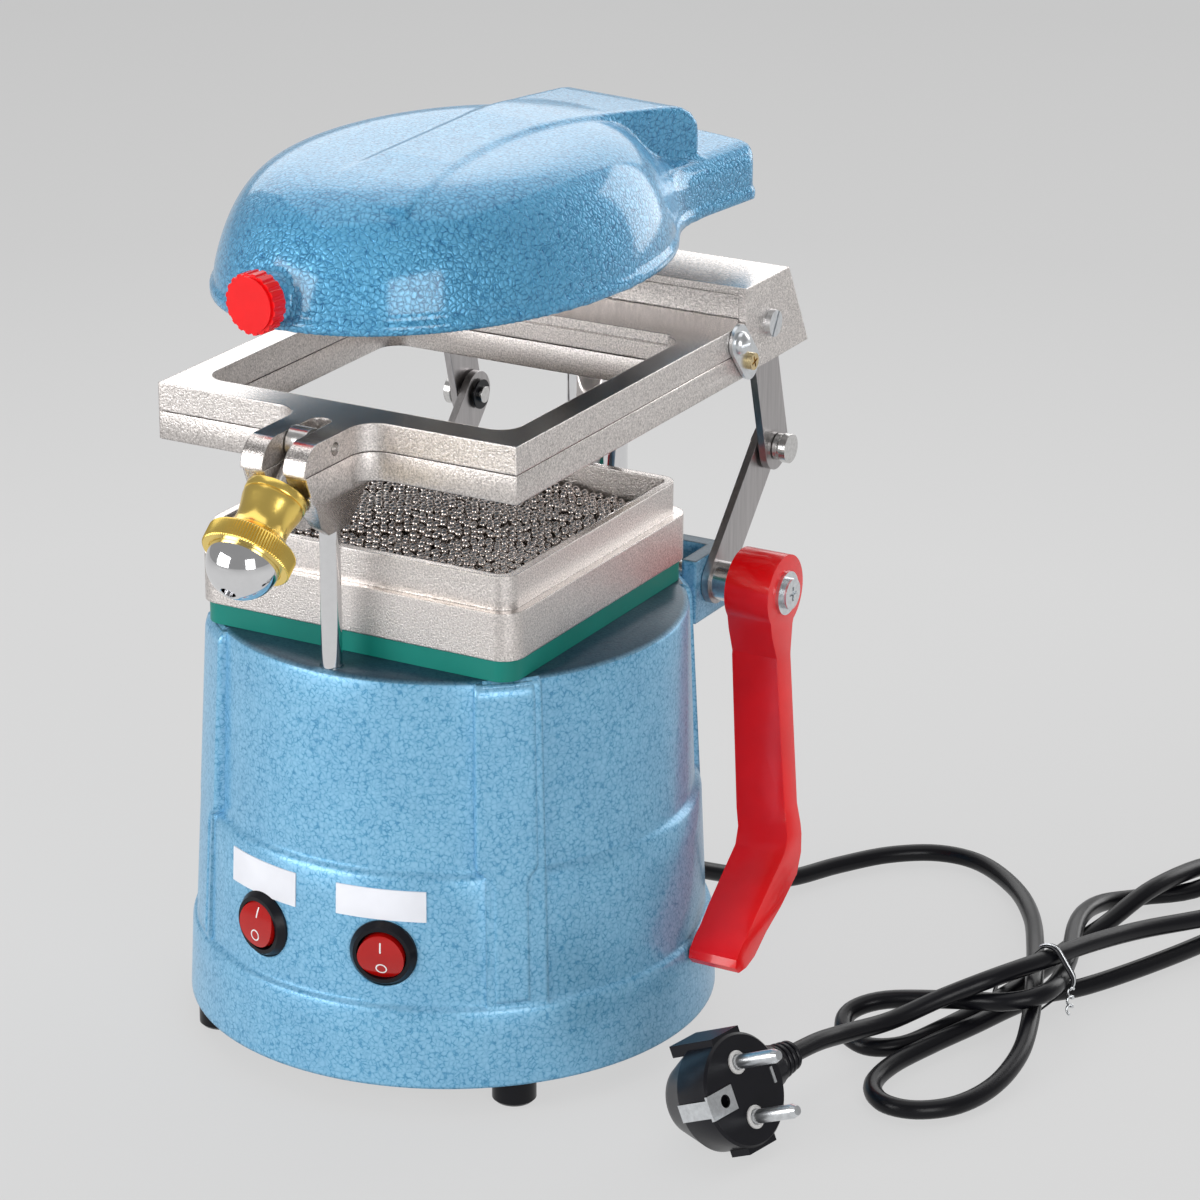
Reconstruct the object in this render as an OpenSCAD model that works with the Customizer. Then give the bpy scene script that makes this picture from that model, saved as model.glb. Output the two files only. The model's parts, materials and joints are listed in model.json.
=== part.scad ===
// Dental vacuum former: drum base with a vacuum motor, a bead tray on a gasket,
// a lever that lowers a two-part sheet frame, and a swivelling heater head.
// Millimetres. X runs to the lever side, Y to the back, Z up from the floor.

/* [Base] */
// radius of the base at its lower edge
base_r = 92; // [86:0.5:100]
// height of the rubber feet
foot_h = 9; // [6:0.5:14]
// diameter of a rubber foot
foot_d = 15; // [12:0.5:20]
// distance of the centre of a foot from the lower edge of the base
foot_inset = 8.55; // [7.5:0.05:14]
// height of the top face of the base
top_z = 150; // [145:0.5:158]
// top edge of the plain skirt
skirt_z = 37.5; // [33:0.5:42]
// height of the step between the two rows of panels
panel_step_z = 82.7; // [78:0.1:88]
// width of a pilaster rib, in degrees
rib_angle = 13.5; // [10:0.5:18]
// wall of the casting
base_wall = 3.5; // [2.5:0.1:5]
// thickness of the top plate of the casting
top_wall = 4.5; // [3.5:0.1:6]
// thickness of the bottom plate
plate_t = 2; // [1.5:0.1:3]
// diameter of the vacuum inlet in the top plate
inlet_d = 30; // [24:1:36]

/* [Switches] */
// angle of a switch from the front, in degrees
switch_angle = 15.7; // [14:0.1:20]
// height of the switch centres
switch_z = 55.5; // [54:0.1:58]
// outside diameter of the switch bezel
bezel_d = 23; // [21:0.1:24]
// diameter of the rocker
rocker_d = 16.4; // [15:0.1:17]
// tilt of a rocker to either side
rocker_tilt = 9; // [6:0.5:11]

/* [Gasket and tray] */
// centre of the tray from front to back
tray_y = -2.2; // [-4:0.1:1]
// outside width of the bead tray
tray_w = 122.6; // [118:0.2:124]
// corner radius of the bead tray
tray_corner = 8; // [5:0.5:12]
// width of the gasket
gasket_w = 120; // [114:0.5:124]
// thickness of the gasket
gasket_t = 7.7; // [5:0.1:9]
// height of the tray
tray_h = 27.8; // [24:0.1:29]
// height of the step in the side of the tray
tray_step_h = 16.3; // [12:0.1:20]
// depth of that step
tray_step = 3; // [1.5:0.1:3.5]
// wall of the tray
tray_wall = 3; // [2:0.1:4]
// height of the bead bed above the top of the tray
bead_heap = 0.2; // [0:0.05:0.4]

/* [Column] */
// diameter of the column
col_d = 22; // [20:0.1:24]
// distance of the column behind the axis of the base
col_y = 102; // [100:0.5:106]
// radius of the column boss of the base
col_boss_r = 17; // [15.5:0.5:19]
// lower end of the column
col_z0 = 64; // [62.5:0.5:90]
// running gap between the column and its bushes, per side
col_gap = 0.05; // [0.02:0.01:0.1]

/* [Crank and links] */
// distance of the cross shaft behind the axis of the base
shaft_y = 80.9; // [80.7:0.1:81.3]
// height of the cross shaft
shaft_z = 141.3; // [140.8:0.1:141.8]
// diameter of the cross shaft
shaft_d = 10; // [9:0.1:11]
// distance of the outside face of the bearing ears from the side of the frame
ear_gap = 10; // [9.9:0.1:10.3]
// thickness of a bearing ear
ear_t = 5.5; // [4.5:0.1:7]
// thickness of a link
link_t = 2.7; // [2.2:0.1:2.8]
// width of a link
link_w = 16.8; // [15:0.1:17.5]
// diameter of the pin between the links
mid_pin_d = 6; // [5:0.1:6.5]
// diameter of the upper link pin
up_pin_d = 5; // [4:0.1:5.2]
// running gap of shafts and pins, per side
pin_gap = 0.05; // [0.03:0.01:0.1]

/* [Lever] */
// width of the lever across
lever_w = 18; // [15:0.2:19]
// diameter of the lever hub
hub_d = 27; // [24:0.5:30]

/* [Sheet frame] */
// outside width of the sheet frame
frame_w = 136; // [136:0.2:137]
// thickness of the lower frame plate
low_t = 9.6; // [9:0.1:9.7]
// thickness of the upper frame plate
up_t = 9.4; // [8.6:0.1:9.8]
// underside of the lower frame at rest
frame_z = 216; // [215.8:0.1:217]
// width of the window for the sheet
window_w = 117; // [113:0.5:119]
// front of the frame
frame_y0 = -72; // [-73:0.1:-71]
// diameter of the front guide rod
rod_d = 7; // [6:0.1:8]
// distance of the guide rod in front of the axis
rod_y = -75.5; // [-75.8:0.1:-75]
// travel of the frame down to the tray
frame_drop = 29.5; // [28:0.1:29.5]

/* [Clamp] */
// diameter of the cross pin in the fork
cross_pin_d = 4.5; // [4:0.1:5]
// width of the slot in the fork and the lug
fork_slot = 7.8; // [7:0.1:8.6]
// angle of the clamp bolt below level
bolt_tilt = 39.5; // [38:0.1:41]
// diameter of the clamp bolt
bolt_d = 6; // [5:0.1:6.4]
// diameter of the seat end of the knob
knob_seat_d = 21; // [19:0.1:21.4]
// diameter of the knurled flange of the knob
knurl_d = 30; // [27:0.2:31]

/* [Heater head] */
// half width of the oval cover
head_a = 67.6; // [64:0.1:70]
// half length of the oval cover
head_b = 94.8; // [92:0.1:96]
// height of the lower rim of the cover
head_z = 262; // [261.5:0.1:264]
// wall of the cover
head_wall = 2.6; // [2:0.1:3.2]
// swing of the head to the left at rest, in degrees
head_turn = 6.8; // [0:0.1:12]
// diameter of the red grip
grip_d = 20.5; // [18:0.1:20.8]

/* [Mains lead] */
// radius of the lead
cord_r = 3.25; // [3:0.05:3.25]
// diameter of the round plug body
plug_d = 38; // [35:0.5:38]

/* [Hidden] */
$fn = 64;
// gap between bodies that move past each other
gap = 0.3;
// loose fit of screws and of pieces in their holes, per side
loose = 0.1;

// base profile radii
foot_r = base_r - foot_inset;
ear_x = frame_w / 2 - ear_gap;
r_skirt = base_r - 1.2;
r_skirt_in = base_r - 3.6;
r_mid = base_r - 5.6;
r_up0 = base_r - 8;
r_up1 = base_r - 10.4;
r_top = base_r - 13;
r_rib0 = base_r - 2.4;
r_rib1 = base_r - 8.4;
// flat seat for a switch, measured from the axis
switch_seat = base_r - 5.5;
bezel_t = 3.3;
barrel_d = 19.6;
barrel_l = 18;
rocker_axis = switch_seat - 0.5;

// tray and gasket heights
gasket_z = top_z + 0.15;
tray_z = gasket_z + gasket_t;
tray_top = tray_z + tray_h;
floor_t = 2.4;
tray_in = tray_w / 2 - tray_step - tray_wall;

// link geometry, side view: shaft, middle pin at rest, upper pin at rest
mid_dy = 36;
mid_dz = 39.6;
up_dy = 22.6;
up_dz = 89.2;
mid_y = shaft_y + mid_dy;
mid_z = shaft_z + mid_dz;
up_y = shaft_y + up_dy;
up_z = shaft_z + up_dz;
link_in_x = ear_x + gap;
wash_t = 0.6;
link_out_x = link_in_x + link_t + wash_t + gap;
cheek_x = frame_w / 2 - 3;
// open pivot: the hole of the upper link is larger than its pin
open_hole_d = up_pin_d + 2.3;
open_dy = -0.56;
open_dz = -0.78;

// sheet frame
joint_gap = 0.3;
up_z0 = frame_z + low_t + joint_gap;
up_z1 = up_z0 + up_t;
win_y0 = frame_y0 + 12;
win_y1 = win_y0 + window_w;
low_y1 = 88;
hinge_y = 78.5;
hinge_z = up_z0 + 3.9;
hinge_screw_y = 85.5;
hinge_screw_z = frame_z + 5.7;
fork_w = 24;
fork_y = -98.7;
pin_y = -90;
pin_z = up_z0 + 4.8;
seat_s = 19.6;
relief_r = 37.6;

// head
col_z1 = head_z + 14;
neck_w = 72;
neck_l = 48;
neck_h = 19;
crown_h = 35.7;
crown_side = 6.5;
ring_n = 64;

// body of the motor
motor_z0 = 34;
motor_post_r = 66;
flange_z = 112;
fan_r = 58;

// side view drawn in (Y, Z), from x0 to x1
module yz(x0, x1) {
  translate([x0, 0, 0]) rotate([90, 0, 90]) linear_extrude(x1 - x0) children();
}
// round bar along X
module xbar(x0, x1, y, z, d) {
  translate([x0, y, z]) rotate([0, 90, 0]) cylinder(h = x1 - x0, d = d);
}
// both sides
module both() {
  children();
  mirror([1, 0, 0]) children();
}
// rounded rectangle made of plain shapes
module rr(w, d, r) {
  square([w - 2 * r, d], center = true);
  square([w, d - 2 * r], center = true);
  for (x = [-1, 1], y = [-1, 1]) {
    translate([x * (w / 2 - r), y * (d / 2 - r)]) circle(r);
  }
}
// local frame of the clamp bolt: +Z runs from the cross pin to the knob
// room of the knob's shoulder from height z, open towards the front
module knob_way(z) {
  translate([0, 0, z]) cylinder(h = 30, d = knob_seat_d + 0.8);
  translate([-knob_seat_d / 2 - 0.4, 0, z]) cube([knob_seat_d + 0.8, 16, 30]);
}
module on_bolt() {
  translate([0, pin_y, pin_z]) rotate([90 + bolt_tilt, 0, 0]) children();
}
// local frame of the head: X across, -Y to the front
module on_head() {
  translate([0, col_y, 0]) rotate([0, 0, -head_turn]) children();
}
// local frame of a switch: +Z outwards, X across
module on_switch(side) {
  rotate([0, 0, side * switch_angle]) translate([0, 0, switch_z]) rotate([90, 0, 0]) children();
}

// ---------- base ----------
module drum() {
  rotate_extrude($fn = 128) polygon([[0, foot_h], [base_r, foot_h], [r_skirt, skirt_z - 3],
    [r_skirt - 0.6, skirt_z - 1.3], [r_skirt_in, skirt_z], [r_mid, panel_step_z - 1.7],
    [r_mid - 0.8, panel_step_z - 0.1], [r_up0, panel_step_z + 1.1], [r_up1, top_z - 3],
    [r_up1 - 0.6, top_z - 1], [r_top, top_z], [0, top_z]]);
  for (a = [45:90:315]) {
    rotate([0, 0, a - rib_angle / 2]) rotate_extrude(angle = rib_angle, $fn = 128)
      polygon([[r_up1 - 8, skirt_z - 4], [r_rib0, skirt_z - 4], [r_rib0, skirt_z - 0.5],
        [r_rib1, top_z - 4], [r_rib1 - 0.8, top_z - 1.5], [r_rib1 - 3.1, top_z],
        [r_up1 - 8, top_z]]);
  }
}
module drum_cavity() {
  difference() {
    rotate_extrude($fn = 128) polygon([[0, foot_h - 1], [r_skirt - base_wall, foot_h - 1],
      [r_skirt - base_wall, skirt_z - 4], [r_mid - base_wall, skirt_z + 3],
      [r_mid - base_wall, panel_step_z - 3], [r_up1 - base_wall, panel_step_z + 4],
      [r_up1 - base_wall, top_z - top_wall], [0, top_z - top_wall]]);
    // the wall behind the cross shaft stays closed
    translate([-60, shaft_y - 11, shaft_z - 12]) cube([120, 40, 40]);
    // posts for the motor
    for (a = [45:90:315]) {
      rotate([0, 0, a]) translate([motor_post_r, 0, flange_z + 4]) cylinder(h = 60, d = 11);
    }
    // guide for the front rod
    translate([0, rod_y, top_z - 50]) cylinder(h = 60, d = rod_d + 7);
    // bosses for the bottom plate
    for (a = [22.5:90:300]) {
      rotate([0, 0, a]) translate([r_skirt - base_wall - 3, 0, foot_h + plate_t]) cylinder(h = 16, d = 10);
    }
  }
}
module base_housing() {
  color("skyblue") difference() {
    union() {
      drum();
      // column boss, web and cross bar
      translate([0, col_y, 60]) cylinder(h = top_z + 1 - 60, r = col_boss_r);
      translate([-12, 75, 60]) cube([24, col_y - 75, 72]);
      translate([-ear_x, shaft_y + 6.1, shaft_z - 13.3]) cube([2 * ear_x, 6, 23]);
      // bearing ears
      both() yz(ear_x - ear_t, ear_x) {
        translate([shaft_y - 11.9, shaft_z - 13.3]) square([18.1, 23]);
      }
    }
    drum_cavity();
    // room for the cross shaft behind the drum
    translate([-40, shaft_y - 6.9, shaft_z - 7.3]) cube([80, 13, 30]);
    xbar(-ear_x - 1, ear_x + 1, shaft_y, shaft_z, shaft_d + 2 * pin_gap);
    // column socket
    translate([0, col_y, col_z0]) cylinder(h = 100, d = col_d + 2 * col_gap);
    translate([0, col_y, 50]) cylinder(h = 30, d = 8.4);
    // vacuum inlet and rod guide
    translate([0, tray_y, top_z - 20]) cylinder(h = 40, d = inlet_d);
    translate([0, rod_y, top_z - 48]) cylinder(h = 60, d = rod_d + 0.3);
    // switches
    for (s = [-1, 1]) {
      on_switch(s) translate([0, 0, switch_seat]) cylinder(h = 12, d = bezel_d + 2 * loose);
      on_switch(s) translate([0, 0, switch_seat - 12]) cylinder(h = 14, d = barrel_d + 2 * loose);
    }
    // lead inlet
    rotate([0, 0, 68]) translate([base_r - 14, 0, 17.5]) rotate([0, 90, 0]) cylinder(h = 30, d = 11.2);
    // threads for the motor screws and the bottom plate
    for (a = [45:90:315]) {
      rotate([0, 0, a]) translate([motor_post_r, 0, flange_z]) cylinder(h = 16, d = 4 + 2 * loose);
    }
    for (a = [22.5:90:300]) {
      rotate([0, 0, a]) translate([r_skirt - base_wall - 3, 0, foot_h]) cylinder(h = 13, d = 4 + 2 * loose);
    }
  }
}
module base_plate() {
  color("dimgray") difference() {
    translate([0, 0, foot_h]) cylinder(h = plate_t, r = r_skirt - base_wall - 0.2, $fn = 128);
    for (a = [0:30:330], r = [20, 32, 44]) {
      rotate([0, 0, a]) translate([r, 0, foot_h - 1]) cylinder(h = plate_t + 2, d = 5);
    }
    for (a = [45:90:315]) {
      rotate([0, 0, a]) translate([foot_r, 0, foot_h - 1]) cylinder(h = plate_t + 2, d = 4 + 2 * loose);
    }
    for (a = [22.5:90:300]) {
      rotate([0, 0, a]) translate([r_skirt - base_wall - 3, 0, foot_h - 1]) cylinder(h = 8, d = 4 + 2 * loose);
    }
  }
}
module plate_screws() {
  color("silver") for (a = [22.5:90:300]) {
    rotate([0, 0, a]) translate([r_skirt - base_wall - 3, 0, foot_h]) {
      translate([0, 0, -2]) cylinder(h = 2, d = 7.5);
      cylinder(h = 11, d = 4);
    }
  }
}
module rubber_feet() {
  color("black") for (a = [45:90:315]) {
    rotate([0, 0, a]) translate([foot_r, 0, 0]) difference() {
      rotate_extrude() polygon([[0, 0], [foot_d / 2 - 1, 0], [foot_d / 2, 1], [foot_d / 2, foot_h], [0, foot_h]]);
      translate([0, 0, -1]) cylinder(h = foot_h + 2, d = 4 + 2 * loose);
      translate([0, 0, -1]) cylinder(h = 4, d = 8);
    }
  }
}
module foot_screws() {
  color("silver") for (a = [45:90:315]) {
    rotate([0, 0, a]) translate([foot_r, 0, 0]) {
      translate([0, 0, 1]) cylinder(h = 2, d = 7.2);
      translate([0, 0, 1]) cylinder(h = foot_h + plate_t - 1, d = 4);
      translate([0, 0, foot_h + plate_t]) cylinder(h = 2.4, d = 7, $fn = 6);
    }
  }
}
// ---------- vacuum motor ----------
module fan_housing() {
  color("gainsboro") difference() {
    union() {
      translate([0, 0, flange_z - 22]) cylinder(h = 48, r = fan_r);
      translate([0, 0, flange_z]) cylinder(h = 4, r = fan_r + 5);
      for (a = [45:90:315]) {
        rotate([0, 0, a]) translate([motor_post_r, 0, flange_z]) cylinder(h = 4, r = 6);
      }
    }
    translate([0, 0, flange_z - 20]) cylinder(h = 44, r = fan_r - 2);
    translate([0, 0, flange_z + 20]) cylinder(h = 30, d = inlet_d);
    translate([0, 0, flange_z - 30]) cylinder(h = 20, d = 20);
    for (a = [0:30:330]) {
      rotate([0, 0, a]) translate([fan_r - 6, -5, flange_z - 18]) cube([12, 10, 8]);
    }
    for (a = [45:90:315]) {
      rotate([0, 0, a]) translate([motor_post_r, 0, flange_z - 1]) cylinder(h = 8, d = 4 + 2 * loose);
    }
  }
}
module motor_screws() {
  color("silver") for (a = [45:90:315]) {
    rotate([0, 0, a]) translate([motor_post_r, 0, 0]) {
      translate([0, 0, flange_z - 3]) cylinder(h = 3, d = 8);
      translate([0, 0, flange_z - 3]) cylinder(h = 17, d = 4);
    }
  }
}
module motor_body() {
  color("darkgray") {
    translate([0, 0, motor_z0]) cylinder(h = flange_z - 22 - motor_z0, d = 78);
    translate([0, 0, motor_z0 - 8]) cylinder(h = 8, d = 34);
    translate([0, 0, motor_z0 + 8]) cylinder(h = 10, d = 86);
    for (a = [0, 180]) {
      rotate([0, 0, a]) translate([38, -8, motor_z0 + 24]) cube([7, 16, 12]);
    }
  }
}
module fan_wheel() {
  color("silver") {
    translate([0, 0, flange_z - 22 + gap]) cylinder(h = 40, d = 14);
    translate([0, 0, flange_z - 6]) cylinder(h = 2, r = fan_r - 6);
    for (a = [0:45:315]) {
      rotate([0, 0, a]) translate([12, -1, flange_z - 4]) cube([fan_r - 20, 2, 14]);
    }
  }
}
module inlet_seal() {
  color("black") difference() {
    translate([0, 0, flange_z + 26]) cylinder(h = top_z - top_wall - flange_z - 26, d = inlet_d + 22);
    translate([0, 0, flange_z + 20]) cylinder(h = 30, d = inlet_d);
  }
}
// ---------- switches ----------
module bezel(side) {
  on_switch(side) difference() {
    union() {
      translate([0, 0, switch_seat]) rotate_extrude() polygon([[0, 0], [bezel_d / 2, 0],
        [bezel_d / 2, 1], [bezel_d / 2 - 1.6, bezel_t], [0, bezel_t]]);
      translate([0, 0, switch_seat - barrel_l]) cylinder(h = barrel_l + 1, d = barrel_d);
      for (x = [-5, 5]) {
        translate([x - 0.4, -3, switch_seat - barrel_l - 8]) cube([0.8, 6, 9]);
      }
    }
    translate([0, 0, switch_seat - 12]) cylinder(h = 30, d = rocker_d + 0.8);
    translate([-10.4, 0, rocker_axis]) rotate([0, 90, 0]) cylinder(h = 20.8, d = 2.2);
  }
}
module bezel_left() {
  color([0.1, 0.1, 0.1]) bezel(-1);
}
module bezel_right() {
  color([0.1, 0.1, 0.1]) bezel(1);
}
module rocker(side, tilt) {
  on_switch(side) translate([0, 0, rocker_axis]) rotate([tilt, 0, 0]) {
    intersection() {
      translate([0, 0, -4]) cylinder(h = 9.5, d = rocker_d - 0.4);
      translate([-15, 0, -15.6]) rotate([0, 90, 0]) cylinder(h = 30, r = 20.6);
      union() {
        rotate([3, 0, 0]) translate([-15, 0, -6]) cube([30, 15, 11]);
        rotate([-3, 0, 0]) translate([-15, -15, -6]) cube([30, 15, 11]);
      }
    }
    translate([0.4 - barrel_d / 2, 0, 0]) rotate([0, 90, 0]) cylinder(h = barrel_d - 0.8, d = 2);
  }
}
module rocker_left() {
  color("red") rocker(-1, -rocker_tilt);
}
module rocker_right() {
  color("red") rocker(1, rocker_tilt);
}
// ---------- gasket, tray and beads ----------
module gasket() {
  color("teal") translate([0, tray_y, gasket_z]) difference() {
    linear_extrude(gasket_t) rr(gasket_w, gasket_w, 7);
    translate([0, 0, -1]) cylinder(h = gasket_t + 2, d = inlet_d + 8);
  }
}
module bead_tray() {
  color("silver") translate([0, tray_y, tray_z]) difference() {
    union() {
      linear_extrude(tray_step_h) rr(tray_w, tray_w, tray_corner);
      linear_extrude(tray_h) rr(tray_w - 2 * tray_step, tray_w - 2 * tray_step, tray_corner - tray_step / 2);
    }
    translate([0, 0, floor_t]) linear_extrude(tray_h) rr(2 * tray_in, 2 * tray_in, 4);
    for (x = [-48:12:48], y = [-48:12:48]) {
      translate([x, y, -1]) cylinder(h = floor_t + 2, d = 2.4, $fn = 24);
    }
  }
}
module bead_bed() {
  color("gray") translate([0, tray_y, tray_z + floor_t]) {
    linear_extrude(tray_h - floor_t - 1.2) rr(2 * tray_in - 0.2, 2 * tray_in - 0.2, 4);
    linear_extrude(tray_h - floor_t + bead_heap) rr(2 * tray_in - 10, 2 * tray_in - 10, 14);
  }
}
// ---------- column ----------
module column() {
  color("silver") translate([0, col_y, 0]) difference() {
    translate([0, 0, col_z0]) cylinder(h = col_z1 - col_z0, d = col_d);
    translate([0, 0, col_z0 + 14]) cylinder(h = 400, d = col_d - 5);
    translate([0, 0, col_z0 - 1]) cylinder(h = 16, d = 8);
  }
}
module column_bolt() {
  color("dimgray") translate([0, col_y, 0]) {
    translate([0, 0, 60 - 5]) cylinder(h = 5, d = 13, $fn = 6);
    translate([0, 0, 60 - 1]) cylinder(h = col_z0 - 60 + 12, d = 8 - 2 * loose);
  }
}
// collar that carries the head on the column
module column_stop() {
  color("silver") translate([0, col_y, head_z - 7]) difference() {
    cylinder(h = 6.7, d = col_d + 10);
    translate([0, 0, -1]) cylinder(h = 10, d = col_d);
    translate([0, 0, 3.4]) rotate([90, 0, 180]) translate([0, 0, 8]) cylinder(h = 12, d = 4);
  }
}
module stop_screw() {
  color("dimgray") translate([0, col_y + col_d / 2, head_z - 3.6]) rotate([-90, 0, 0]) cylinder(h = 5.6, d = 4 - 2 * loose);
}
// ---------- crank ----------
module cross_shaft() {
  color("silver") {
    xbar(-link_in_x - link_t - 5, ear_x + 29.5, shaft_y, shaft_z, shaft_d);
  }
}
module shaft_collars() {
  color("silver") {
    difference() {
      xbar(link_in_x + link_t, cheek_x + 5, shaft_y, shaft_z, shaft_d + 4);
      xbar(link_in_x, cheek_x + 6, shaft_y, shaft_z, shaft_d);
    }
    difference() {
      xbar(-link_in_x - link_t - 4.5, -link_in_x - link_t, shaft_y, shaft_z, shaft_d + 4);
      xbar(-link_in_x - link_t - 6, -link_in_x, shaft_y, shaft_z, shaft_d);
    }
  }
}
// flat bar with round ends between two points of the side view
module bar2(y0, z0, y1, z1) {
  len = sqrt(pow(y1 - y0, 2) + pow(z1 - z0, 2));
  translate([y0, z0]) rotate(atan2(z1 - z0, y1 - y0)) {
    circle(d = link_w);
    translate([len, 0]) circle(d = link_w);
    translate([0, -link_w / 2]) square([len, link_w]);
  }
}
module lower_links() {
  color("lightgray") both() difference() {
    yz(link_in_x, link_in_x + link_t) bar2(shaft_y, shaft_z, mid_y, mid_z);
    xbar(0, 100, shaft_y, shaft_z, shaft_d);
    xbar(0, 100, mid_y, mid_z, mid_pin_d);
  }
}
module upper_links() {
  color("lightgray") both() difference() {
    yz(link_out_x, link_out_x + link_t) bar2(mid_y, mid_z, up_y, up_z);
    xbar(0, 100, mid_y, mid_z, mid_pin_d + 2 * pin_gap);
    xbar(0, 100, up_y + open_dy, up_z + open_dz, open_hole_d);
  }
}
module link_washers() {
  color("silver") both() difference() {
    xbar(link_in_x + link_t, link_in_x + link_t + wash_t, mid_y, mid_z, mid_pin_d + 6);
    xbar(0, 100, mid_y, mid_z, mid_pin_d);
  }
}
module mid_pins() {
  color("silver") both() difference() {
    union() {
      xbar(link_in_x - 3, link_out_x + link_t + gap, mid_y, mid_z, mid_pin_d);
      xbar(link_out_x + link_t + gap, link_out_x + link_t + gap + 1.6, mid_y, mid_z, 9.6);
      xbar(link_out_x + link_t + gap, link_out_x + link_t + gap + 3, mid_y, mid_z, 7.6);
      xbar(link_out_x + link_t + gap + 2.6, link_out_x + link_t + gap + 5.2, mid_y, mid_z, 10.5);
    }
    difference() {
      xbar(link_in_x - 1.7, link_in_x - 0.9, mid_y, mid_z, mid_pin_d + 2);
      xbar(link_in_x - 2, link_in_x, mid_y, mid_z, mid_pin_d - 1.4);
    }
  }
}
module pin_clips() {
  color([0.1, 0.1, 0.1]) both() difference() {
    xbar(link_in_x - 1.6, link_in_x - 1, mid_y, mid_z, mid_pin_d + 5);
    xbar(link_in_x - 2, link_in_x, mid_y, mid_z, mid_pin_d - 1.2);
    yz(link_in_x - 2, link_in_x) translate([mid_y, mid_z - 1.7]) square([8, 3.4]);
  }
}
module lever() {
  h0 = cheek_x + 5;
  color("red") difference() {
    union() {
      xbar(h0, h0 + lever_w - 1, shaft_y, shaft_z, hub_d);
      intersection() {
        yz(h0 - 3, h0 + 46) polygon([[shaft_y - 12.4, shaft_z], [shaft_y - 7.9, shaft_z - 22],
          [56.5, 68], [53.6, 62.6], [48, 58], [22, 46.4], [9, 39.8], [4.6, 36.6], [3.6, 34],
          [5.6, 31.6], [11, 31.4], [17.5, 33], [27, 38.2], [54, 49.2], [60, 55], [64.5, 63.5],
          [shaft_y + 2.6, shaft_z - 22], [shaft_y + 11.5, shaft_z]]);
        translate([0, 150, 0]) rotate([90, 0, 0]) linear_extrude(200) polygon([[h0, 150],
          [h0, 128], [h0 + 0.8, 118], [r_up0 - 2.2, 68], [r_mid - 0.7, 58.5], [r_skirt - 0.1, 42],
          [base_r, 30], [base_r + lever_w, 30], [r_skirt - 0.1 + lever_w, 43],
          [r_mid - 0.2 + lever_w, 60.5], [r_up0 - 1.7 + lever_w, 70], [h0 + lever_w + 0.4, 118],
          [h0 + lever_w - 1, 128], [h0 + lever_w - 1, 150]]);
      }
    }
    xbar(0, 200, shaft_y, shaft_z, shaft_d);
  }
}
module lever_fixings() {
  h1 = cheek_x + 4 + lever_w;
  color("gold") difference() {
    xbar(h1, h1 + 1.2, shaft_y, shaft_z, 15.5);
    xbar(h1 - 1, h1 + 2, shaft_y, shaft_z, shaft_d);
  }
  color("silver") difference() {
    xbar(h1 + 1.2, h1 + 3, shaft_y, shaft_z, shaft_d + 1);
    for (a = [0, 90]) {
      translate([h1 + 2, shaft_y, shaft_z]) rotate([a, 0, 0]) translate([0, -2.6, -0.5]) cube([3, 5.2, 1]);
    }
  }
}
// ---------- sheet frame ----------
module window_cut(z0, z1) {
  translate([0, (win_y0 + win_y1) / 2, z0]) linear_extrude(z1 - z0) rr(window_w, window_w, 8);
}
module slot_cut(z0, z1) {
  translate([0, 0, z0]) linear_extrude(z1 - z0) {
    translate([-fork_slot / 2, -130]) square([fork_slot, 130 - 80.5]);
    translate([0, -80.5]) circle(d = fork_slot);
  }
}
// root fillets between the lug and the frame, and the plan of the lug
module lug_plan() {
  difference() {
    translate([-fork_w / 2 - 9, frame_y0 - 9]) square([fork_w + 18, 12]);
    for (s = [-1, 1]) {
      translate([s * (fork_w / 2 + 9), frame_y0 - 9]) circle(r = 9);
    }
  }
  translate([-fork_w / 2, -115]) square([fork_w, 115 + frame_y0]);
}
module lower_frame() {
  color("silver") difference() {
    union() {
      translate([-frame_w / 2, frame_y0, frame_z]) cube([frame_w, low_y1 - frame_y0, low_t]);
      intersection() {
        translate([0, 0, frame_z - 20]) linear_extrude(low_t + 20) lug_plan();
        yz(-40, 40) polygon([[frame_y0 + 1, frame_z + low_t], [-110.9, frame_z + low_t],
          [-111.4, frame_z + low_t - 1.4], [-110.1, frame_z + 7.6], [-92.3, 203.6],
          [-84.5, 198.8], [rod_y + 3.6, 198.8], [rod_y + 4.2, frame_z - 4],
          [rod_y + 5.6, frame_z - 1.2], [frame_y0 + 1, frame_z]]);
        union() {
          translate([-fork_w / 2, -120, 0]) cube([fork_w, 60, 400]);
          translate([-60, -120, frame_z]) cube([120, 60, low_t]);
        }
      }
    }
    window_cut(frame_z - 1, frame_z + 20);
    slot_cut(190, 240);
    // seat of the knob, relieved so that the bolt can swing out
    // seat of the knob, open to the front, and the relief that lets it swing out
    on_bolt() knob_way(seat_s - gap);
    intersection() {
      on_bolt() knob_way(seat_s - 9);
      on_bolt() difference() {
        translate([-20, -7.5, 8]) cube([40, 20, 30]);
        translate([-30, -7.5, seat_s - 0.55 - relief_r]) rotate([0, 90, 0]) cylinder(h = 60, r = relief_r);
      }
    }
    // guide rod socket
    translate([0, rod_y, 180]) cylinder(h = frame_z + 5 - 180, d = rod_d);
    // screws of the hinge plates
    both() xbar(frame_w / 2 - 9, frame_w, hinge_screw_y, hinge_screw_z, 3 + 2 * loose);
    // bolts to the hinge block
    for (x = [-40, -27, 27, 40]) {
      translate([x, low_y1 + 1, frame_z + low_t / 2]) rotate([90, 0, 0]) cylinder(h = 11, d = 5);
    }
  }
}
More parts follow.
